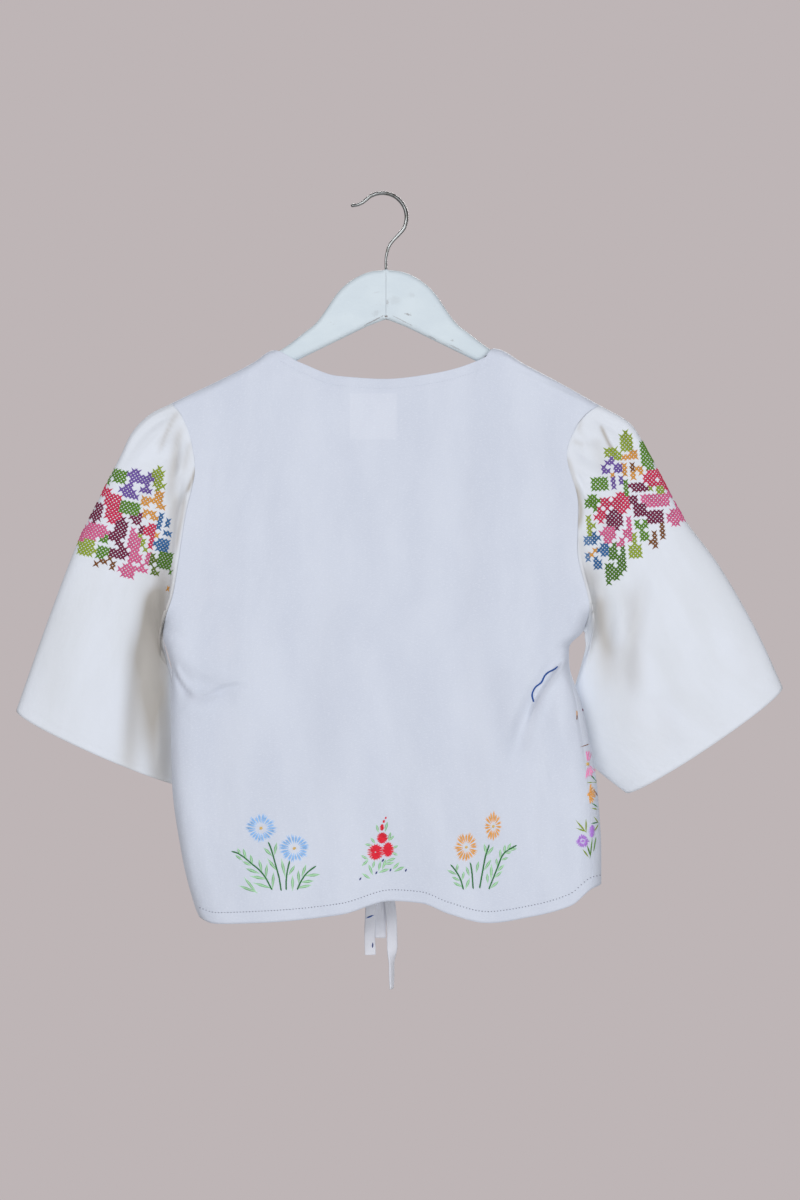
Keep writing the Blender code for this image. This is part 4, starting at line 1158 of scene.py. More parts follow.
# Hanger: painted arms and a plated wire hook
hangerValues = {
    "woodTop": (
        (0.0, -0.0750), (0.015, -0.0765), (0.028, -0.0815), (0.040, -0.0895), (0.050, -0.1000),
        (0.064, -0.1205), (0.072, -0.1300), (0.083, -0.1385), (0.095, -0.1480), (0.104, -0.1542),
        (0.113, -0.1592), (0.131, -0.1693), (0.156, -0.1824), (0.180, -0.1942), (0.198, -0.2040),
        (0.205, -0.2125),
    ),
    "woodBottom": (
        (0.205, -0.2125), (0.2035, -0.2190), (0.197, -0.2185), (0.091, -0.1665), (0.020, -0.1318),
        (0.0, -0.1240),
    ),
    "halfThick": 0.00575,
    "round": 0.0054,
    "jointRound": 0.0005,
    "jointGap": 0.00008,
    "wireRadius": 0.0019,
    # x, z, radius share
    "wire": (
        (-0.0335, -0.0105, 0.92), (-0.0290, -0.0100, 0.80), (-0.0242, -0.0080, 0.86),
        (-0.0200, -0.0048, 0.92), (-0.0157, -0.0013, 0.96), (-0.0098, 0.0011, 1.0), (-0.0036, 0.0019, 1.0),
        (0.0026, 0.0011, 1.0), (0.0085, -0.0013, 1.0), (0.0134, -0.0052, 1.0), (0.0173, -0.0102, 1.0),
        (0.0197, -0.0160, 1.0), (0.0205, -0.0222, 1.0), (0.0197, -0.0284, 1.0), (0.0173, -0.0342, 0.97),
        (0.0118, -0.0405, 0.92), (0.0068, -0.0458, 0.86), (0.0032, -0.0510, 0.80), (0.0012, -0.0570, 0.74),
        (0.0, -0.0640, 0.70), (0.0, -0.0747, 0.70),
    ),
    # scuffs on the paint, and at picture x 302 and 468 painted shade where the arms' lower edges meet the
    # neckline: picture x and y, length, width, turn in degrees, strength
    "scuffsAndShadeMarks": (
        (408, 315, 7, 2.2, -15, 0.55), (387.5, 303, 2.6, 7, 0, 0.35), (376, 314, 9, 6, 30, 0.14),
        (374, 321, 22, 1.3, 27, 0.60), (386, 317, 3.0, 2.2, 0, 1.0), (402, 321, 24, 1.1, -27, 0.42),
        (432, 338, 12, 1.2, -27, 0.45), (452, 341, 3, 2.4, 0, 0.30), (455, 348, 16, 1.4, -27, 0.35),
        (377, 293, 9, 1.6, 8, 0.10), (412, 296, 8, 5, 0, 0.10), (302, 363, 6, 2.6, -30, 0.9),
        (468, 362, 5, 3.0, 60, 0.9), (395, 301, 12, 9, 0, 0.10),
    ),
}


def solidMesh(name, rings, material, node):
    # rings of points joined by quads, with a cap at each end
    rows, count = rings.shape[:2]
    faces = [tuple(range(count))[::-1], tuple(range((rows - 1) * count, rows * count))]
    for first in range(0, (rows - 1) * count, count):
        above = first + count
        for column in range(count):
            beside = (column + 1) % count
            faces.append((first + column, first + beside, above + beside, above + column))
    mesh = bpy.data.meshes.new(name)
    mesh.from_pydata(rings.reshape(-1, 3).tolist(), [], faces)
    shape = bmesh.new()
    shape.from_mesh(mesh)
    bmesh.ops.recalc_face_normals(shape, faces=shape.faces)
    shape.to_mesh(mesh)
    shape.free()
    mesh.shade_smooth()
    mesh.materials.append(material)
    piece = bpy.data.objects.new(name, mesh)
    bpy.context.collection.objects.link(piece)
    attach(piece, "root")
    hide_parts(node)


def makeArm(side):
    top = refinedPath(hangerValues["woodTop"], 5)
    rounded = refinedPath(hangerValues["woodBottom"][:3], 4)
    straight = np.array(hangerValues["woodBottom"][2:])
    bottom = np.concatenate([rounded] + [
        np.linspace(first, last, 13)[1:] for first, last in zip(straight, straight[1:])
    ])
    outline = np.concatenate([top, bottom[1:]])
    joint = np.stack([np.zeros(7), np.linspace(outline[-1, 1], outline[0, 1], 9)[1:-1]], axis=-1)
    outline = np.concatenate([outline, joint])
    outline[:, 0] = np.maximum(outline[:, 0], hangerValues["jointGap"])
    before, after = np.roll(outline, 1, axis=0), np.roll(outline, -1, axis=0)
    along = (outline - before) / np.linalg.norm(outline - before, axis=1, keepdims=True)
    along = along + (after - outline) / np.linalg.norm(after - outline, axis=1, keepdims=True)
    along = along / np.linalg.norm(along, axis=1, keepdims=True)
    inward = np.stack([along[:, 1], -along[:, 0]], axis=-1)
    radius = mix(hangerValues["jointRound"], hangerValues["round"], smooth(outline[:, 0] / 0.004))
    rows = []
    half = hangerValues["halfThick"]
    bends = np.linspace(0, math.pi / 2, 7)
    for face, angles in ((-1, bends[::-1]), (1, bends)):
        for angle in angles:
            inset = outline + inward * (radius * (1 - math.cos(angle)))[:, None]
            y = face * (half - radius * (1 - math.sin(angle)))
            rows.append(np.stack([side * inset[:, 0], y, inset[:, 1]], axis=-1))
    name = "hanger_left_arm" if side < 0 else "hanger_right_arm"
    node = "hanger_arm_left" if side < 0 else "hanger_arm_right"
    solidMesh(name, np.array(rows), paintedWood, node)


def makeHook():
    line = refinedPath(hangerValues["wire"], 6)
    line[-1, 2] = hangerValues["wire"][-1][2]
    radius = line[:, 2] * hangerValues["wireRadius"]
    along = np.gradient(line[:, :2], axis=0)
    along = along / np.linalg.norm(along, axis=1, keepdims=True)
    normal = np.stack([-along[:, 1], along[:, 0]], axis=-1)
    tipShares = np.array([0.25, 0.7, 0.95])
    centres = [line[0, :2] - along[0] * radius[0] * reach for reach in (0.95, 0.7, 0.3)]
    radii = [radius[0] * share for share in tipShares]
    centres = np.concatenate([np.array(centres), line[:, :2]])
    radii = np.concatenate([radii, radius])
    normal = np.concatenate([np.repeat(normal[:1], 3, axis=0), normal])
    angle = np.linspace(0, 2 * math.pi, 17)[:-1]
    ring = centres[:, None] + normal[:, None] * (radii[:, None] * np.cos(angle))[..., None]
    y = radii[:, None] * np.sin(angle)
    points = np.stack([ring[..., 0], y, ring[..., 1]], axis=-1)
    solidMesh("wire_hook", points, wireMaterial, "hanger_hook")


def woodPaint():
    material, tree, shader = newMaterial("paintedWood")
    place = addNode(tree, "ShaderNodeTexCoord").outputs["Object"]
    x, y, z = addNode(tree, "ShaderNodeSeparateXYZ", links={"Vector": place}).outputs
    clouds = ramp(tree, noiseTone(tree, place, 26.0, 3.0, (1, 1, 1.6)), 0.3, 0.7)
    colour = mixColour(tree, clouds, (0.575, 0.655, 0.705), (0.610, 0.690, 0.735))
    specks = noiseTone(tree, place, 420.0, 2.0, (1, 1, 1))
    ragged = times(tree, minus(tree, noiseTone(tree, place, 900.0, 3.0, (1, 1, 1)), 0.5), 2.6)
    # dark scuffs, and two marks of painted shade by the neckline
    for middleX, middleY, length, width, turn, strength in hangerValues["scuffsAndShadeMarks"]:
        centreX = (middleX - cameraView["middle"][0]) / 1000 + cameraView["place"][0]
        centreZ = cameraView["place"][2] - (middleY - cameraView["middle"][1]) / 1000
        cosine, sine = math.cos(math.radians(turn)), math.sin(math.radians(turn))
        offX, offZ = minus(tree, x, centreX), minus(tree, z, centreZ)
        along = plus(tree, times(tree, offX, cosine), times(tree, offZ, sine))
        across = minus(tree, times(tree, offZ, cosine), times(tree, offX, sine))
        first = mathNode(tree, "POWER", times(tree, along, 2000 / length), 2.0)
        second = mathNode(tree, "POWER", times(tree, across, 2000 / width), 2.0)
        reach = plus(tree, mathNode(tree, "SQRT", plus(tree, first, second)), ragged)
        backOnly = times(tree, ramp(tree, reach, 1.15, 0.55), ramp(tree, y, 0.001, -0.001))
        colour = mixColour(tree, times(tree, backOnly, strength), colour, (0.16, 0.13, 0.12))
    worn = times(tree, ramp(tree, specks, 0.70, 0.76), 0.18)
    colour = mixColour(tree, worn, colour, (0.34, 0.30, 0.27))
    tree.links.new(colour, shader.inputs["Base Color"])
    streaks = noiseTone(tree, place, 60.0, 3.0, (1.0, 1.0, 12.0))
    setRoughness(tree, shader, streaks, 0.50, 0.66)
    shader.inputs["Specular IOR Level"].default_value = 0.35
    tree.links.new(bumpNormal(tree, streaks, 0.35, 0.0003), shader.inputs["Normal"])
    return material


def platedWire():
    material, tree, shader = newMaterial("platedWire")
    noise = noiseTone(tree, addNode(tree, "ShaderNodeTexCoord").outputs["Object"], 160.0, 4.0)
    colour = mixColour(tree, ramp(tree, noise, 0.42, 0.70), (0.24, 0.25, 0.25), (0.13, 0.13, 0.12))
    tree.links.new(colour, shader.inputs["Base Color"])
    shader.inputs["Metallic"].default_value = 1.0
    setRoughness(tree, shader, noise, 0.26, 0.36)
    return material


paintedWood = woodPaint()
wireMaterial = platedWire()
for side in (-1, 1):
    makeArm(side)
makeHook()
print("stage: hanger")


# Embroidery and sewing
# thread colours, linear
threads = {
    "redPink": (0.570, 0.026, 0.090), "maroon": (0.165, 0.009, 0.052), "pink": (0.620, 0.110, 0.260),
    "orange": (0.640, 0.300, 0.055), "purple": (0.155, 0.085, 0.350), "blue": (0.032, 0.130, 0.315),
    "paleBlue": (0.105, 0.210, 0.390), "green": (0.095, 0.235, 0.014), "lime": (0.270, 0.360, 0.030),
    "darkGreen": (0.066, 0.170, 0.012), "olive": (0.105, 0.165, 0.018),
    "brown": (0.190, 0.070, 0.018), "skyBlue": (0.300, 0.540, 0.870), "daisyYellow": (0.720, 0.470, 0.130),
    "stemGreen": (0.026, 0.190, 0.045), "paleLeaf": (0.400, 0.680, 0.420), "leafEdge": (0.200, 0.460, 0.220),
    "red": (0.740, 0.024, 0.050),
    "navy": (0.040, 0.062, 0.215), "daisyOrange": (0.800, 0.390, 0.095), "rosePink": (0.870, 0.270, 0.520),
    "lilac": (0.470, 0.240, 0.700), "scallopBlue": (0.010, 0.080, 0.330), "sewing": (0.100, 0.110, 0.165),
    "paleSewing": (0.560, 0.590, 0.680),
}


def stitchTree():
    # a bent, tapered thread on each point, turned by its "along" and "facing" and sized by its "size"
    tree = bpy.data.node_groups.new("threadStitches", "GeometryNodeTree")
    interface = tree.interface
    interface.new_socket("Points", in_out="INPUT", socket_type="NodeSocketGeometry")
    for name, kind, value in (
        ("Arch", "NodeSocketFloat", 0.55),
        ("Sides", "NodeSocketInt", 4),
        ("Taper", "NodeSocketFloat", 0.45),
        ("Turn wobble", "NodeSocketFloat", 0.06),
        ("Size wobble", "NodeSocketFloat", 0.08),
        ("Seed", "NodeSocketInt", 7),
    ):
        interface.new_socket(name, in_out="INPUT", socket_type=kind).default_value = value
    interface.new_socket("Thread", in_out="INPUT", socket_type="NodeSocketMaterial")
    interface.new_socket("Stitches", in_out="OUTPUT", socket_type="NodeSocketGeometry")
    given = addNode(tree, "NodeGroupInput").outputs
    result = addNode(tree, "NodeGroupOutput")

    def named(name):
        node = addNode(tree, "GeometryNodeInputNamedAttribute", {"Name": name}, data_type="FLOAT_VECTOR")
        return node.outputs["Attribute"]

    def vectorNode(operation, links):
        return addNode(tree, "ShaderNodeVectorMath", links=links, operation=operation).outputs[0]

    # one thread along X, thickest at its middle
    peak = addNode(tree, "ShaderNodeCombineXYZ", links={"Z": times(tree, given["Arch"], 2.0)})
    ends = {"Resolution": 3, "Start": (-0.5, 0, -0.35), "End": (0.5, 0, -0.35)}
    thread = addNode(tree, "GeometryNodeCurveQuadraticBezier", ends, {"Middle": peak.outputs[0]})
    along = addNode(tree, "GeometryNodeSplineParameter").outputs["Factor"]
    fromMiddle = mathNode(tree, "ABSOLUTE", minus(tree, along, 0.5))
    narrowing = times(tree, mathNode(tree, "POWER", fromMiddle, 2), given["Taper"])
    radius = mathNode(tree, "MULTIPLY_ADD", narrowing, -4.0, 1.0)
    shaped = addNode(tree, "GeometryNodeSetCurveRadius",
                     links={"Curve": thread.outputs["Curve"], "Radius": radius})
    profile = addNode(tree, "GeometryNodeCurvePrimitiveCircle", {"Radius": 0.5},
                      {"Resolution": given["Sides"]})
    tube = addNode(tree, "GeometryNodeCurveToMesh", {"Fill Caps": True},
                   {"Curve": shaped.outputs["Curve"], "Profile Curve": profile.outputs["Curve"]})
    if "Scale" in tube.inputs:
        tree.links.new(radius, tube.inputs["Scale"])

    # its turn and size on each point
    seed = {"Seed": given["Seed"]}
    wobble = addNode(tree, "FunctionNodeRandomValue", {"Min": (-1, -1, -1), "Max": (1, 1, 1)}, seed,
                     data_type="FLOAT_VECTOR")
    swing = vectorNode("SCALE", {0: wobble.outputs[0], "Scale": given["Turn wobble"]})
    heading = vectorNode("ADD", {0: named("along"), 1: swing})
    turn = addNode(tree, "FunctionNodeAxesToRotation",
                   links={"Primary Axis": named("facing"), "Secondary Axis": heading},
                   primary_axis="Z", secondary_axis="X")
    chance = addNode(tree, "FunctionNodeRandomValue", {2: -1.0, 3: 1.0}, seed, data_type="FLOAT").outputs[1]
    share = mathNode(tree, "MULTIPLY_ADD", chance, given["Size wobble"], 1.0)
    size = vectorNode("SCALE", {0: named("size"), "Scale": share})
    spread = addNode(tree, "GeometryNodeInstanceOnPoints", links={
        "Points": given["Points"],
        "Instance": tube.outputs["Mesh"],
        "Rotation": turn.outputs[0],
        "Scale": size,
    })
    real = addNode(tree, "GeometryNodeRealizeInstances", links={"Geometry": spread.outputs["Instances"]})
    finished = addNode(tree, "GeometryNodeSetMaterial",
                       links={"Geometry": real.outputs["Geometry"], "Material": given["Thread"]})
    tree.links.new(finished.outputs["Geometry"], result.inputs["Stitches"])
    return tree


def threadMaterial():
    material, tree, shader = newMaterial("embroideryThread")
    colour = addNode(tree, "ShaderNodeAttribute", attribute_name="threadColour").outputs["Color"]
    place = addNode(tree, "ShaderNodeTexCoord").outputs["Object"]
    noise = noiseTone(tree, place, 650.0)
    light = times(tree, ramp(tree, noise, 0.35, 0.75), 0.02)
    faded = mixColour(tree, light, colour, (0.8, 0.8, 0.8))
    dark = times(tree, ramp(tree, noiseTone(tree, place, 60.0), 0.45, 0.7), 0.22)
    tone = mixColour(tree, dark, faded, (0.25, 0.22, 0.25), "MULTIPLY")
    tree.links.new(tone, shader.inputs["Base Color"])
    setRoughness(tree, shader, noise, 0.5, 0.7)
    shader.inputs["Specular IOR Level"].default_value = 0.14
    tree.links.new(bumpNormal(tree, noise, 0.5, 0.00008), shader.inputs["Normal"])
    return material


stitchNodes = stitchTree()
threadFinish = threadMaterial()


def sewStitches(name, stitches, **settings):
    # stitches are (start, end, facing, width, colour name); the result is one plain mesh
    starts, ends, facing, width = (np.array([stitch[item] for stitch in stitches]) for item in range(4))
    height = width * settings.pop("flat", 0.8)
    colour = np.array([(*threads[stitch[4]], 1) for stitch in stitches])
    along = ends - starts
    length = np.linalg.norm(along, axis=1)
    mesh = bpy.data.meshes.new(name + "_points")
    mesh.from_pydata(((starts + ends) / 2).tolist(), [], [])
    for label, values in (("along", along / length[:, None]), ("facing", facing),
                          ("size", np.stack([length, width, height], axis=-1))):
        mesh.attributes.new(label, "FLOAT_VECTOR", "POINT").data.foreach_set("vector", values.reshape(-1))
    mesh.attributes.new("threadColour", "FLOAT_COLOR", "POINT").data.foreach_set("color", colour.reshape(-1))
    source = bpy.data.objects.new(name + "_points", mesh)
    bpy.context.collection.objects.link(source)
    modifier = source.modifiers.new("stitches", "NODES")
    modifier.node_group = stitchNodes
    sockets = stitchNodes.interface.items_tree
    inputs = {item.name: item.identifier for item in sockets if item.in_out == "INPUT"}
    for label, value in {"Thread": threadFinish, **settings}.items():
        modifier[inputs[label]] = value
    bpy.context.view_layer.update()
    evaluated = source.evaluated_get(bpy.context.evaluated_depsgraph_get())
    plain = bpy.data.meshes.new_from_object(evaluated)
    piece = bpy.data.objects.new(name, plain)
    bpy.context.collection.objects.link(piece)
    bpy.data.objects.remove(source)
    for spare in ("along", "facing", "size"):
        if spare in plain.attributes:
            plain.attributes.remove(plain.attributes[spare])
    plain.materials.clear()
    plain.materials.append(threadFinish)
    plain.polygons.foreach_set("material_index", np.zeros(len(plain.polygons), dtype=np.int32))
    plain.shade_smooth()
    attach(piece, "root")
    return piece


def clothTree(grids):
    # what a needle meets: the outer faces of the cloth
    vertices, faces = [], []
    for grid, closed in grids:
        rows, columns = grid.shape[:2]
        offset = len(vertices)
        vertices.extend(grid.reshape(-1, 3).tolist())
        for row in range(rows - 1):
            for column in range(columns if closed else columns - 1):
                beside = (column + 1) % columns
                first = offset + row * columns
                above = first + columns
                faces.append((first + column, first + beside, above + beside, above + column))
    return BVHTree.FromPolygons(vertices, faces)


clothSurface = clothTree(
    [(grid, False) for grid in (backGrid, frontGrids[-1], frontGrids[1], *tieGrids)]
    + [(sleeveGrids[-1], True), (sleeveGrids[1], True)]
)


def onCloth(x, y, side=-1):
    # where a place on the picture lies on the cloth, seen from the back (-1) or the front (1)
    cameraX, cameraY, cameraZ = cameraView["place"]
    eye = Vector((cameraX, cameraY * -side, cameraZ))
    middleX, middleY = cameraView["middle"]
    scale = cameraView["pixelsPerMetre"]
    aim = Vector((cameraX + (x - middleX) / scale, 0, cameraZ - (y - middleY) / scale))
    place, normal, _, _ = clothSurface.ray_cast(eye, aim - eye)
    if place is None:
        return None, None
    if normal.dot(aim - eye) > 0:
        normal = -normal
    return np.array(place), np.array(normal)


def pictureStitch(x1, y1, x2, y2, width, colour, side=-1):
    # a stitch between two places on the picture; none where the cloth ends or steps away
    first, facingFirst = onCloth(x1, y1, side)
    second, facingSecond = onCloth(x2, y2, side)
    if first is None or second is None:
        return []
    drawn = math.hypot(x2 - x1, y2 - y1) / 1000
    if np.linalg.norm(second - first) > 2.5 * drawn + 0.001:
        return []
    facing = facingFirst + facingSecond
    return [(first, second, facing / np.linalg.norm(facing), width, colour)]


def stemStitches(path, colour, width=0.0014, step=2.2, length=4.2, side=-1):
    line = refinedPath(path, 8)
    starts = np.concatenate([[0], np.cumsum(np.hypot(*np.diff(line, axis=0).T))])
    made = []
    for run in np.arange(0, starts[-1] - 1.0, step):
        ends = (run, min(run + length, starts[-1]))
        (x1, x2), (y1, y2) = np.interp(ends, starts, line[:, 0]), np.interp(ends, starts, line[:, 1])
        lean = 0.25
        made += pictureStitch(x1 - lean, y1, x2 + lean, y2, width, colour, side)
    return made


def daisyStitches(x, y, outerX, outerY, inner, petals, colour, seed,
                  centre="daisyYellow", side=-1, leftEnd=0):
    # lazy-daisy petals: two threads side by side for each
    chance = np.random.default_rng(seed)
    made = []
    for index in range(petals):
        angle = 2 * math.pi * (index + chance.uniform(-0.15, 0.15)) / petals
        reach = chance.uniform(0.86, 1.06)
        if x + outerX * math.cos(angle) < leftEnd:
            continue
        for shift in (-0.055, 0.055):
            near = (x + inner * outerX / outerY * math.cos(angle), y + inner * math.sin(angle))
            far = (x + outerX * reach * math.cos(angle + shift), y + outerY * reach * math.sin(angle + shift))
            made += pictureStitch(*near, *far, 0.0011, colour, side)
    for angle in (0.2, 1.3, 2.4):
        stepX, stepY = 1.6 * math.cos(angle), 1.6 * math.sin(angle)
        made += pictureStitch(x - stepX, y - stepY, x + stepX, y + stepY, 0.0013, centre, side)
    return made


def leafStitches(rows, side=-1):
    # lazy-daisy leaves: a pale wide thread inside a thin loop, each from its base to its tip
    fill, loop = [], []
    for x1, y1, x2, y2 in rows:
        length = math.hypot(x2 - x1, y2 - y1)
        offX, offY = (y2 - y1) / length, (x1 - x2) / length
        bulge = min(1.25, length * 0.13)
        fill += pictureStitch(x1, y1, x2, y2, 0.0023, "paleLeaf", side)
        middleX, middleY = x1 + (x2 - x1) * 0.6, y1 + (y2 - y1) * 0.6
        for way in (-bulge, bulge):
            bendX, bendY = middleX + offX * way, middleY + offY * way
            loop += pictureStitch(x1, y1, bendX, bendY, 0.0007, "leafEdge", side)
            loop += pictureStitch(bendX, bendY, x2, y2, 0.0007, "leafEdge", side)
    return fill, loop


def knotStitches(x, y, radiusX, radiusY, colour, side=-1):
    # a filled round of short satin threads
    made = []
    rows = max(2, int(round(2 * radiusY / 0.95)))
    for index in range(rows):
        rise = -radiusY + (index + 0.5) * 2 * radiusY / rows
        half = radiusX * math.sqrt(max(0, 1 - (rise / radiusY) ** 2))
        made += pictureStitch(x - half, y + rise + 0.35, x + half, y + rise - 0.35, 0.0012, colour, side)
    return made


# motifs along the hem, as places in the picture that were read off the photo
hemMotifs = {
    # x, y, half width, half height, inner radius, petals, colour, seed
    "daisies": (
        (261.0, 828.2, 14.4, 13.4, 6.0, 22, "skyBlue", 1),
        (294.3, 848.4, 14.6, 13.2, 5.8, 22, "skyBlue", 2),
        (466.3, 847.2, 11.0, 14.0, 5.6, 20, "daisyOrange", 3),
        (493.2, 826.4, 8.2, 13.8, 5.4, 17, "daisyOrange", 4),
    ),
    "stems": (
        ((232, 851.6), (236.5, 852.5), (244.1, 857.3), (252.4, 864.3), (258.2, 868.8), (263.9, 875.2),
         (267.1, 880.3), (271.9, 889.8)),
        ((268.4, 842), (271.6, 850.3), (276, 866.2), (279.2, 878.3), (281.1, 890.5)),
        ((289.7, 861.1), (287.5, 870), (286.2, 880.3), (286.2, 889.8)),
        ((316.2, 865.9), (311.1, 869.4), (306.6, 873.2), (301.5, 880.3), (297.1, 889.8)),
        ((450.9, 864.8), (455.7, 870.7), (460.6, 879.4), (463.3, 889.2)),
        ((470.4, 862.6), (472, 872.9), (473.1, 888.6)),
        ((489.4, 844.7), (485.6, 855.6), (482.9, 869.7), (479.6, 888.1)),
        ((517, 845.2), (510.5, 848.5), (502.9, 854.5), (497.5, 867.5), (493.2, 878.3), (488.8, 889.2)),
    ),
    # leaves from base to tip
    "leaves": (
        (240, 854, 238, 849), (246, 858.6, 243.5, 849.6), (252.4, 864.3, 250.5, 855.4),
        (262, 871.3, 259, 860.5), (265.8, 877.7, 266.8, 865.3), (272.5, 888.5, 273.5, 873.2),
        (242, 859.8, 235.8, 855.4), (250.5, 865.3, 243.5, 861.8), (258.8, 873.2, 246.7, 868.8),
        (265.8, 879, 252.4, 876.4), (270.3, 887.9, 255.6, 883.4), (255.6, 891.7, 245.4, 879),
        (255, 891.9, 240.9, 886.3), (271.6, 855.7, 264.5, 848.4), (274.7, 854, 276.3, 843.9),
        (276, 870, 268.7, 859.8), (284.9, 875.2, 281.8, 861), (288.8, 874.5, 294.5, 866.2),
        (292.6, 889.2, 292.6, 877), (299, 882.8, 298.3, 871.3), (302, 875.8, 305.7, 865.6),
        (306.6, 875.8, 318.7, 874.5), (301.5, 882.2, 312.7, 880.9), (298.3, 887.9, 309.8, 885.3),
        (455.7, 874, 448.2, 870.7), (459.5, 880.5, 452.5, 877.2), (461.7, 886.5, 454, 882.7),
        (456.8, 870.7, 457.4, 864.8), (462.3, 879.4, 463.9, 872.4), (466, 887.5, 469.3, 879.4),
        (468.8, 875, 466.6, 867.5), (476.4, 871.8, 478.5, 862), (486, 853.4, 484.5, 844.7),
        (487.2, 854.5, 493.2, 847.4), (484.5, 869.7, 490.5, 860.4), (487.7, 882.7, 487.2, 874),
        (507.3, 850.7, 510.5, 843.6), (504, 852.3, 505, 845.2), (500.2, 857.7, 500.2, 850),
        (497, 865.3, 496.4, 858.8), (491, 878.3, 491.5, 865.9), (510.5, 850, 516, 848.5),
        (506.2, 853.4, 511, 851.8), (501.8, 859.9, 507.8, 857.7), (498, 870.7, 503.5, 865.3),
        (495.3, 877.2, 501.3, 871.8), (491, 887.5, 498, 882), (372.2, 874, 369, 865.3),
        (362.5, 865.3, 367.9, 860.4), (367.4, 859.3, 361.9, 855.6), (371, 845.2, 365.7, 844.2),
        (374.9, 843, 371, 838.2), (378.2, 831.7, 376.6, 825.2), (385.2, 831, 387.4, 822.5),
        (388.5, 839.8, 390.7, 832.8), (389, 840.4, 393.9, 836), (393.4, 848, 397.7, 845.8),
        (392.8, 852.8, 397.2, 855), (372.8, 867.5, 374.4, 861.5), (378.7, 869.7, 380.4, 862),
        (382.5, 868.6, 385.8, 859.9), (384.7, 864.2, 393.4, 862.6), (386.9, 861, 395, 858.3),
        (379.8, 872.4, 388.5, 869), (393.4, 868.6, 398.8, 863), (395, 871.3, 403.7, 866.9),
        (363, 874, 369.5, 878.3),
    ),
    "redKnots": (
        (385.8, 817.9, 0.9, 0.9), (383.8, 821.4, 1.2, 1.2), (382, 827.4, 2.1, 3.0), (382.2, 838, 4.6, 5.0),
        (375.7, 852.1, 7.0, 7.2), (388, 849.6, 4.9, 6.6),
    ),
    "navyDashes": ((382.9, 860.4), (376.4, 872.7), (390.5, 870), (405.9, 870.3), (360.3, 878.9)),
    "scallop": ((557.8, 666.8), (554, 669.5), (547.8, 672.5), (544, 676.7), (542.5, 680.6), (540.2, 683.6),
                (535.6, 686.7), (532.9, 691.3), (531.9, 695.9), (533.7, 701.6)),
}


def backEmbroidery():
    made = []
    for stem in hemMotifs["stems"]:
        made += stemStitches(stem, "stemGreen")
    for daisy in hemMotifs["daisies"]:
        made += daisyStitches(*daisy)
    for x, y, radiusX, radiusY in hemMotifs["redKnots"]:
        made += knotStitches(x, y, radiusX, radiusY, "red")
        if radiusX > 3:
            for angle in np.linspace(0, 2 * math.pi, 19)[:-1]:
                stepX, stepY = math.cos(angle) * radiusX, math.sin(angle) * radiusY
                near, far = (x + stepX * 0.5, y + stepY * 0.5), (x + stepX * 1.14, y + stepY * 1.14)
                made += pictureStitch(*near, *far, 0.0010, "red")
    made += pictureStitch(374.6, 852.1, 376.2, 852.1, 0.0016, "paleSewing")
    for x, y in hemMotifs["navyDashes"]:
        made += pictureStitch(x - 0.8, y + 1.3, x + 0.8, y - 1.3, 0.0015, "navy")
    made += stemStitches(hemMotifs["scallop"], "scallopBlue", 0.0016, 1.7, 3.4)
    # the bow's blue edge shows on one end
    made += pictureStitch(363.4, 915.4, 367.2, 918.0, 0.0015, "scallopBlue")
    made += pictureStitch(366.8, 918.1, 372.8, 915.2, 0.0015, "scallopBlue")
    made += pictureStitch(373.0, 943.0, 372.3, 947.6, 0.0015, "navy")
    return made


def stripEmbroidery():
    # flowers on the right front where it wraps round the side, at places read off the photo
    made = daisyStitches(587.6, 764, 8.6, 13.0, 4.5, 22, "rosePink", 5, leftEnd=584.5)
    made += daisyStitches(588.6, 794.5, 7.2, 9.8, 2.5, 20, "daisyOrange", 6, "daisyOrange", leftEnd=590.0)
    made += daisyStitches(582.6, 841.1, 6.0, 6.4, 2.6, 18, "lilac", 7, "lilac")
    made += knotStitches(591.9, 831.2, 2.6, 6.0, "lilac")
    for x1, y1, x2, y2, colour in (
        (594, 790.3, 597, 795.2, "brown"), (591.7, 776.6, 596, 781, "stemGreen"),
        (589, 782.6, 595.5, 782.2, "lime"), (592.6, 803.4, 597, 807, "stemGreen"),
        (592.6, 808.5, 597, 809.2, "lime"), (592, 823.2, 597.6, 822.6, "stemGreen"),
        (594.4, 817.8, 598, 822.3, "lime"), (594.4, 830.3, 598, 825, "lime"),
        (577.6, 822.3, 584.6, 830.6, "lime"), (586, 820.5, 586, 831, "lime"),
        (577.6, 828.5, 585.6, 831.6, "lime"), (591.6, 839.3, 590.5, 857, "green"),
        (587.4, 846.5, 590, 855, "green"), (595.5, 838.4, 593.7, 850, "green"),
        (583, 850, 588.3, 856.5, "lime"), (592.6, 851.5, 596.4, 845.6, "lime"),
        (576.7, 711, 576.8, 716, "orange"), (576.8, 715, 576.8, 719.5, "brown"),
        (582.2, 709, 582.6, 711, "maroon"), (582, 746.6, 588, 744.3, "brown"),
    ):
        made += pictureStitch(x1, y1, x2, y2, 0.0015, colour)
    return made


def frontEmbroidery():
    # the hidden fronts carry plain daisies of the same kind above the hem
    made, leaves = [], []
    pairs = ((250, "skyBlue", 11), (310, "daisyOrange", 12), (470, "rosePink", 13), (530, "skyBlue", 14))
    for x, colour, seed in pairs:
        for shift, top in ((-14, 838), (14, 850)):
            stem = ((x + shift, top + 12), (x + shift * 0.6, top + 26), (x + shift * 0.2, 888))
            made += stemStitches(stem, "stemGreen", side=1)
            made += daisyStitches(x + shift, top, 12.0, 12.5, 5.0, 22, colour, 20 + seed + shift, side=1)
            for rise in (0, 9):
                baseX, baseY = x + shift * 0.6, top + 26 - rise
                leaves += [(baseX, baseY, baseX - 8, baseY - 8), (baseX, baseY + 3, baseX + 8, baseY - 5)]
    fill, loop = leafStitches(leaves, 1)
    return fill + made + loop


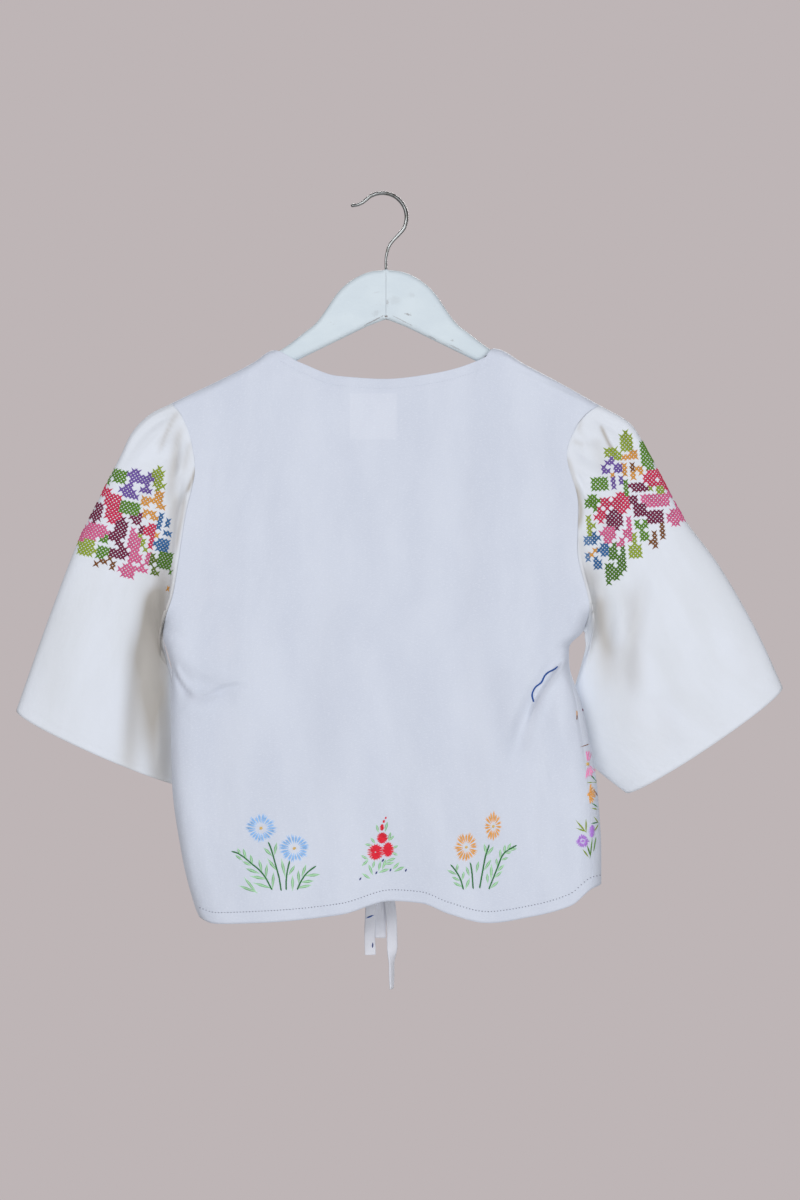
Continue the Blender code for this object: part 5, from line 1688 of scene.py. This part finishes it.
sewingValues = {
    "origin": (386, 195),  # where x = 0 and z = 0 show in the picture
    "level": 600,  # the picture row at the camera's own height
    "nearer": 0.0115,  # the share by which the body's faces show larger, standing nearer
    "bowHalf": 14,
    # first and last x, step, half length, thread
    "hem": (200, 600, 3.1, 0.55, 0.0008),
    "neck": (281, 489, 2.6, 0.8, 0.00035),
}


def hemStitches():
    made = []
    originX, originZ = sewingValues["origin"]
    left, right, step, half, thread = sewingValues["hem"]
    for side, lift in ((-1, 0.0), (1, bodyForm["frontHemLift"])):
        for x in np.arange(left, right, step):
            hem = readLine(bodyForm["hem"], (x - originX) / 1000)
            y = originZ - 1000 * (hem + lift + backValues["hemStitch"])
            y = y + (y - sewingValues["level"]) * sewingValues["nearer"]
            if side > 0 and abs(x - originX) < sewingValues["bowHalf"]:
                continue
            made += pictureStitch(x - half, y, x + half, y, thread, "sewing", side)
    left, right, step, half, thread = sewingValues["neck"]
    for x in np.arange(left, right, step):
        y = originZ - 1000 * (readLine(bodyForm["top"], (x - originX) / 1000) - backValues["neckStitch"])
        made += pictureStitch(x - half, y, x + half, y, thread, "paleSewing")
    return made


leafFill, leafLoops = leafStitches(hemMotifs["leaves"])
sewStitches("hem_leaves", leafFill, flat=0.3)
for name, stitches in (
    ("hem_embroidery", backEmbroidery() + leafLoops + stripEmbroidery()),
    ("front_embroidery", frontEmbroidery()),
    ("hem_stitching", hemStitches()),
):
    sewStitches(name, stitches)
print("stage: hem embroidery")


# cross-stitch bouquets on the sleeves, laid out as the photo has them
# colour, left, right, top and bottom in the picture, turn in degrees; a later block wins, and None clears
bouquets = {
    -1: (
        ("green", 112, 127, 468, 483), ("green", 106, 112, 472, 484), ("purple", 128, 139, 469, 484),
        ("purple", 139.5, 153, 474, 484), ("purple", 120, 135, 485.5, 496),
        ("purple", 140.5, 150, 486, 494), ("purple", 131, 139, 494, 501), ("orange", 136, 140, 485, 489),
        ("lime", 153, 164, 468, 491), ("redPink", 99.5, 111, 486, 498), ("redPink", 104, 122, 494, 524),
        (None, 102, 106, 500, 512), ("maroon", 90, 103.5, 502, 522), (None, 93.5, 97, 509, 513),
        ("green", 120, 140, 500, 516), ("orange", 141, 153.5, 496, 505), ("orange", 154.5, 162, 492, 503),
        ("orange", 159, 163, 503, 511), ("orange", 142, 149.5, 508, 517), ("orange", 150.5, 157, 511, 521),
        ("brown", 150.5, 155, 505, 509), ("maroon", 116, 129, 519, 529.5),
        ("maroon", 130.5, 143, 514, 526), ("maroon", 138, 142.5, 526, 536),
        ("maroon", 110, 125.5, 530, 541), ("maroon", 116, 124, 541, 548), ("maroon", 110.5, 128, 548, 560),
        ("redPink", 144.5, 156, 524, 537), ("redPink", 149.5, 153.5, 537, 548),
        ("pink", 145.5, 150.5, 551, 565), ("pink", 127, 141, 530, 553), ("pink", 130.5, 143, 553, 563),
        ("pink", 120, 135, 562.5, 579), ("pink", 134.5, 146, 565.5, 574), ("lime", 139.8, 144, 534, 538.5),
        ("lime", 141, 146, 540.5, 546), ("lime", 142.3, 146.5, 548, 552), ("blue", 157, 163, 514, 531),
        ("blue", 164, 171, 519, 529.5), ("blue", 163.5, 173, 530, 537), ("blue", 154.5, 169, 538.5, 552),
        ("orange", 156.5, 160.5, 533, 537), ("olive", 149, 156, 553, 566), ("olive", 152, 158, 565, 575),
        ("darkGreen", 157.5, 173, 552, 569), ("darkGreen", 169.5, 174, 566, 573),
        ("pink", 82, 109, 523, 539), ("pink", 77, 86, 532, 541), ("lime", 78, 96, 539.5, 556),
        ("green", 101, 108.5, 536, 543), ("green", 95.5, 111, 545, 557), ("brown", 94, 98, 560, 564),
        ("brown", 98, 102, 557.5, 561.5), ("brown", 103, 107, 558, 562), ("brown", 109.5, 113.5, 557, 561),
        ("brown", 110.5, 114.5, 561, 565), ("brown", 109.5, 113, 565, 569),
        ("orange", 175, 185.5, 553, 564.5), (None, 178, 182, 556, 560.5), ("orange", 174, 178, 547, 551),
        ("brown", 174, 178, 570, 574), ("orange", 169.5, 177.5, 580, 591), (None, 171, 175, 583.5, 587),
        ("orange", 178, 181.5, 578, 582), ("orange", 166.5, 170, 587.5, 591),
        ("orange", 173.5, 177, 592.5, 596.5),
    ),
    1: (
        ("lime", 620, 634, 432, 452), ("lime", 605.5, 622, 448.5, 460, 30),
        ("green", 640.5, 651.5, 441, 470, -16), ("blue", 655, 659, 459, 465), ("blue", 658, 663, 465, 471),
        ("purple", 606.5, 613.5, 457, 467), ("purple", 601, 609, 466, 475), ("purple", 615, 622, 463, 474),
        ("purple", 610, 616, 478, 488), ("purple", 617.5, 624, 477, 484), ("orange", 611, 615, 472, 476.5),
        ("orange", 623, 628.5, 454, 462), ("orange", 629.5, 638, 450, 461), ("orange", 636, 643, 465, 474),
        ("orange", 629.5, 636, 471, 480), ("orange", 622, 628.5, 464.5, 476),
        ("brown", 629.5, 633.5, 463, 470), ("green", 590, 608.5, 475.5, 491, -12),
        ("green", 586, 599, 493.5, 512), (None, 591, 595, 506, 512), ("green", 622.5, 628.5, 480, 496),
        ("maroon", 629.5, 643, 481.5, 492), ("maroon", 644, 648.5, 485.5, 489.5),
        ("maroon", 629.5, 637, 494.5, 506), ("maroon", 634, 646, 503, 518),
        ("maroon", 647, 664.5, 509, 524), ("redPink", 644.5, 667, 470, 487), (None, 655, 659, 478, 482),
        ("redPink", 662, 671, 479, 491), ("lime", 648.5, 652.5, 487, 491), ("lime", 655, 664, 486, 493),
        ("pink", 641, 670.5, 492.5, 507), ("pink", 666.5, 674, 486, 496), ("pink", 674, 682, 496, 509),
        ("pink", 667, 684, 509.5, 524), ("redPink", 600.5, 612, 498, 508.5),
        ("redPink", 596, 604.5, 508.5, 522), ("redPink", 613.5, 628, 492.5, 515),
        ("maroon", 606.5, 622, 511, 531), ("lime", 613, 617, 520, 524), ("pink", 601.5, 615, 525, 542),
        ("pink", 625, 633, 517, 541), ("pink", 617.5, 626, 539, 548), ("green", 635, 639.5, 520, 530),
        ("green", 640.5, 650, 521, 542), (None, 643, 646, 527, 530.5), ("brown", 653.5, 658, 531, 535),
        ("brown", 652, 656, 535, 539), ("brown", 651, 655, 539, 544), ("brown", 651.5, 655.5, 544, 547.5),
        ("brown", 660.5, 664.5, 523, 531), ("brown", 661, 665, 532, 538),
        ("lime", 631.5, 638.5, 533.5, 546), ("lime", 627, 643, 545.5, 557), ("lime", 586, 593.5, 517, 537),
        ("green", 574, 583.5, 535, 550), ("blue", 592.5, 599, 533, 544), ("blue", 598.5, 608, 543, 557),
        ("blue", 592.5, 602, 558, 571), ("paleBlue", 583.5, 592, 537, 546.5),
        ("paleBlue", 579, 588.5, 549, 565), ("orange", 593, 597, 547, 551),
        ("orange", 589.5, 593.5, 552, 556), ("darkGreen", 609, 617, 543.5, 560),
        ("darkGreen", 618.5, 627, 547, 570), ("darkGreen", 606, 621, 561, 580),
        (None, 613, 617, 562.5, 566.5), ("darkGreen", 606, 613, 577, 584), ("brown", 576.5, 580, 561, 565),
        ("brown", 577.5, 581, 569.5, 573.5), ("orange", 578, 581.5, 580, 584),
    ),
}
crossValues = {
    "pitch": 0.0041,
    "thread": 0.00178,
    "lift": 0.0001,
    "ragged": 0.10,
    "reach": 0.46,
    # the direction of the warp on each sleeve, x and z
    "run": {-1: (-0.22, -0.975), 1: (0.08, -0.997)},
    # the warp thread that the crosses are counted from, as its distance to the side of the origin
    "grain": {-1: -0.178, 1: -0.217},
}


def flowerAt(shapes, x, y, chance):
    found = None
    for colour, x1, x2, y1, y2, *turn in shapes:
        middleX, middleY = (x1 + x2) / 2, (y1 + y2) / 2
        width, height = max(x2 - x1 - 0.3, 4.2), max(y2 - y1 - 0.3, 4.2)
        angle = math.radians(turn[0] if turn else 0)
        across, down = x - middleX, y - middleY
        first = (across * math.cos(angle) + down * math.sin(angle)) / (width / 2)
        second = (down * math.cos(angle) - across * math.sin(angle)) / (height / 2)
        if abs(first) ** 2.4 + abs(second) ** 2.4 < 1 + chance:
            found = colour
    return found


def crossStitches(side):
    # crosses on a square lattice: level cuts across the sleeve, then equal steps round each cut
    grid = sleeveGrids[side]
    if side > 0:
        grid = grid[:, ::-1]
    outer = 0 if side < 0 else grid.shape[1] - 1
    grid = np.roll(grid, -outer, axis=1)
    half = grid.shape[1] // 2
    runX, runZ = crossValues["run"][side]
    pitch = crossValues["pitch"]
    chance = np.random.default_rng(50 + side)
    depth = grid[..., 0] * runX + grid[..., 2] * runZ

    def cut(level, columns):
        points = []
        for column in columns:
            along = np.maximum.accumulate(depth[4:, column])
            if not along[0] < level < along[-1]:
                continue
            points.append([np.interp(level, along, grid[4:, column, axis]) for axis in range(3)])
        points = np.array(points)
        if len(points) < 4:
            return None
        run = np.concatenate([[0], np.cumsum(np.linalg.norm(np.diff(points, axis=0), axis=1))])
        sideways = (points[:, 2] * runX - points[:, 0] * runZ) * -side
        start = np.interp(crossValues["grain"][side], sideways, run)
        return points, run, start

    def at(line, place):
        points, run, _ = line
        return np.stack([np.interp(place, run, points[:, axis]) for axis in range(3)], axis=-1)

    stitches = []
    levels = np.arange(depth.min() + pitch, depth.min() + crossValues["reach"], pitch)
    for columns, view in ((range(0, half + 1), -1), (range(len(grid[0]) - 1, half - 1, -1), 1)):
        lines = [cut(level, columns) for level in levels]
        for upper, lower in zip(lines, lines[1:]):
            if upper is None or lower is None:
                continue
            first = math.ceil(-min(upper[2], lower[2]) / pitch)
            last = math.floor(min(upper[1][-1] - upper[2], lower[1][-1] - lower[2]) / pitch)
            steps = np.arange(first, last + 1) * pitch
            above, below = at(upper, upper[2] + steps), at(lower, lower[2] + steps)
            corners = zip(above[:-1], above[1:], below[:-1], below[1:])
            for first, second, third, fourth in corners:
                facing = np.cross(fourth - first, third - second)
                facing = facing / max(np.linalg.norm(facing), 1e-9)
                if facing[1] * view < 0:
                    facing = -facing
                centre = (first + second + third + fourth) / 4
                x, y = pictureOf(centre, view)
                colour = flowerAt(bouquets[side], x, y, chance.uniform(-1, 1) * crossValues["ragged"])
                if colour is None:
                    continue
                lift = facing * crossValues["lift"]
                stitches.append((first + lift, fourth + lift, facing, crossValues["thread"], colour))
                stitches.append((second + lift, third + lift, facing, crossValues["thread"], colour))
    return stitches


for side, name in ((-1, "sleeve_left_embroidery"), (1, "sleeve_right_embroidery")):
    embroidery = sewStitches(name, crossStitches(side), flat=0.6, **{"Taper": 0.2, "Turn wobble": 0.08})
print("stage: sleeve embroidery")


# Light and stage
studioValues = {
    "backdrop": (0.514, 0.462, 0.468),
    "ambient": (0.275, 0.262, 0.268),
    "floorHeight": -1.45,
    "floorRadius": 1.6,
    # place, size, watts, colour
    "key": ((-0.8, -2.6, 0.7), 1.4, 45.5, (0.98, 0.985, 1.0)),
    "fill": ((1.4, -2.4, -0.9), 2.0, 31.5, (0.98, 0.985, 1.0)),
    "front": ((0.3, 2.4, 0.8), 1.8, 80, (1.0, 0.99, 0.97)),
}


def areaLight(name, place, size, watts, colour):
    data = bpy.data.lights.new(name, "AREA")
    data.shape = "DISK"
    data.size = size
    data.energy = watts
    data.color = colour
    light = bpy.data.objects.new(name, data)
    light.location = place
    aim = Vector((0, 0, -0.45)) - Vector(place)
    light.rotation_euler = aim.to_track_quat("-Z", "Y").to_euler()
    bpy.context.collection.objects.link(light)


for name in ("key", "fill", "front"):
    areaLight(name, *studioValues[name])

world = bpy.data.worlds.new("studio")
world.use_nodes = True
worldTree = world.node_tree
ambient = worldTree.nodes["Background"]
ambient.inputs[0].default_value = (*studioValues["ambient"], 1)
wall = addNode(worldTree, "ShaderNodeBackground")
wall.inputs[0].default_value = (*studioValues["backdrop"], 1)
seen = addNode(worldTree, "ShaderNodeLightPath").outputs["Is Camera Ray"]
shown = addNode(worldTree, "ShaderNodeMixShader", links={"Fac": seen})
worldTree.links.new(ambient.outputs[0], shown.inputs[1])
worldTree.links.new(wall.outputs[0], shown.inputs[2])
worldTree.links.new(shown.outputs[0], worldTree.nodes["World Output"].inputs["Surface"])
bpy.context.scene.world = world

floorMesh = bpy.data.meshes.new("floor")
disc = bmesh.new()
bmesh.ops.create_circle(disc, cap_ends=True, segments=96, radius=studioValues["floorRadius"])
bmesh.ops.translate(disc, verts=disc.verts, vec=(0, 0, studioValues["floorHeight"]))
disc.to_mesh(floorMesh)
disc.free()
floor = bpy.data.objects.new("floor", floorMesh)
bpy.context.collection.objects.link(floor)
floorMaterial, floorTree, floorShader = newMaterial("paleFloor")
floorNoise = addNode(floorTree, "ShaderNodeTexNoise", {"Scale": 3.0})
floorTones = {"To Min": 0.58, "To Max": 0.62}
floorTint = addNode(floorTree, "ShaderNodeMapRange", floorTones, {"Value": floorNoise.outputs["Fac"]})
floorTree.links.new(floorTint.outputs[0], floorShader.inputs["Base Color"])
floorShader.inputs["Roughness"].default_value = 0.9
floorMesh.materials.append(floorMaterial)
print("stage: lights")
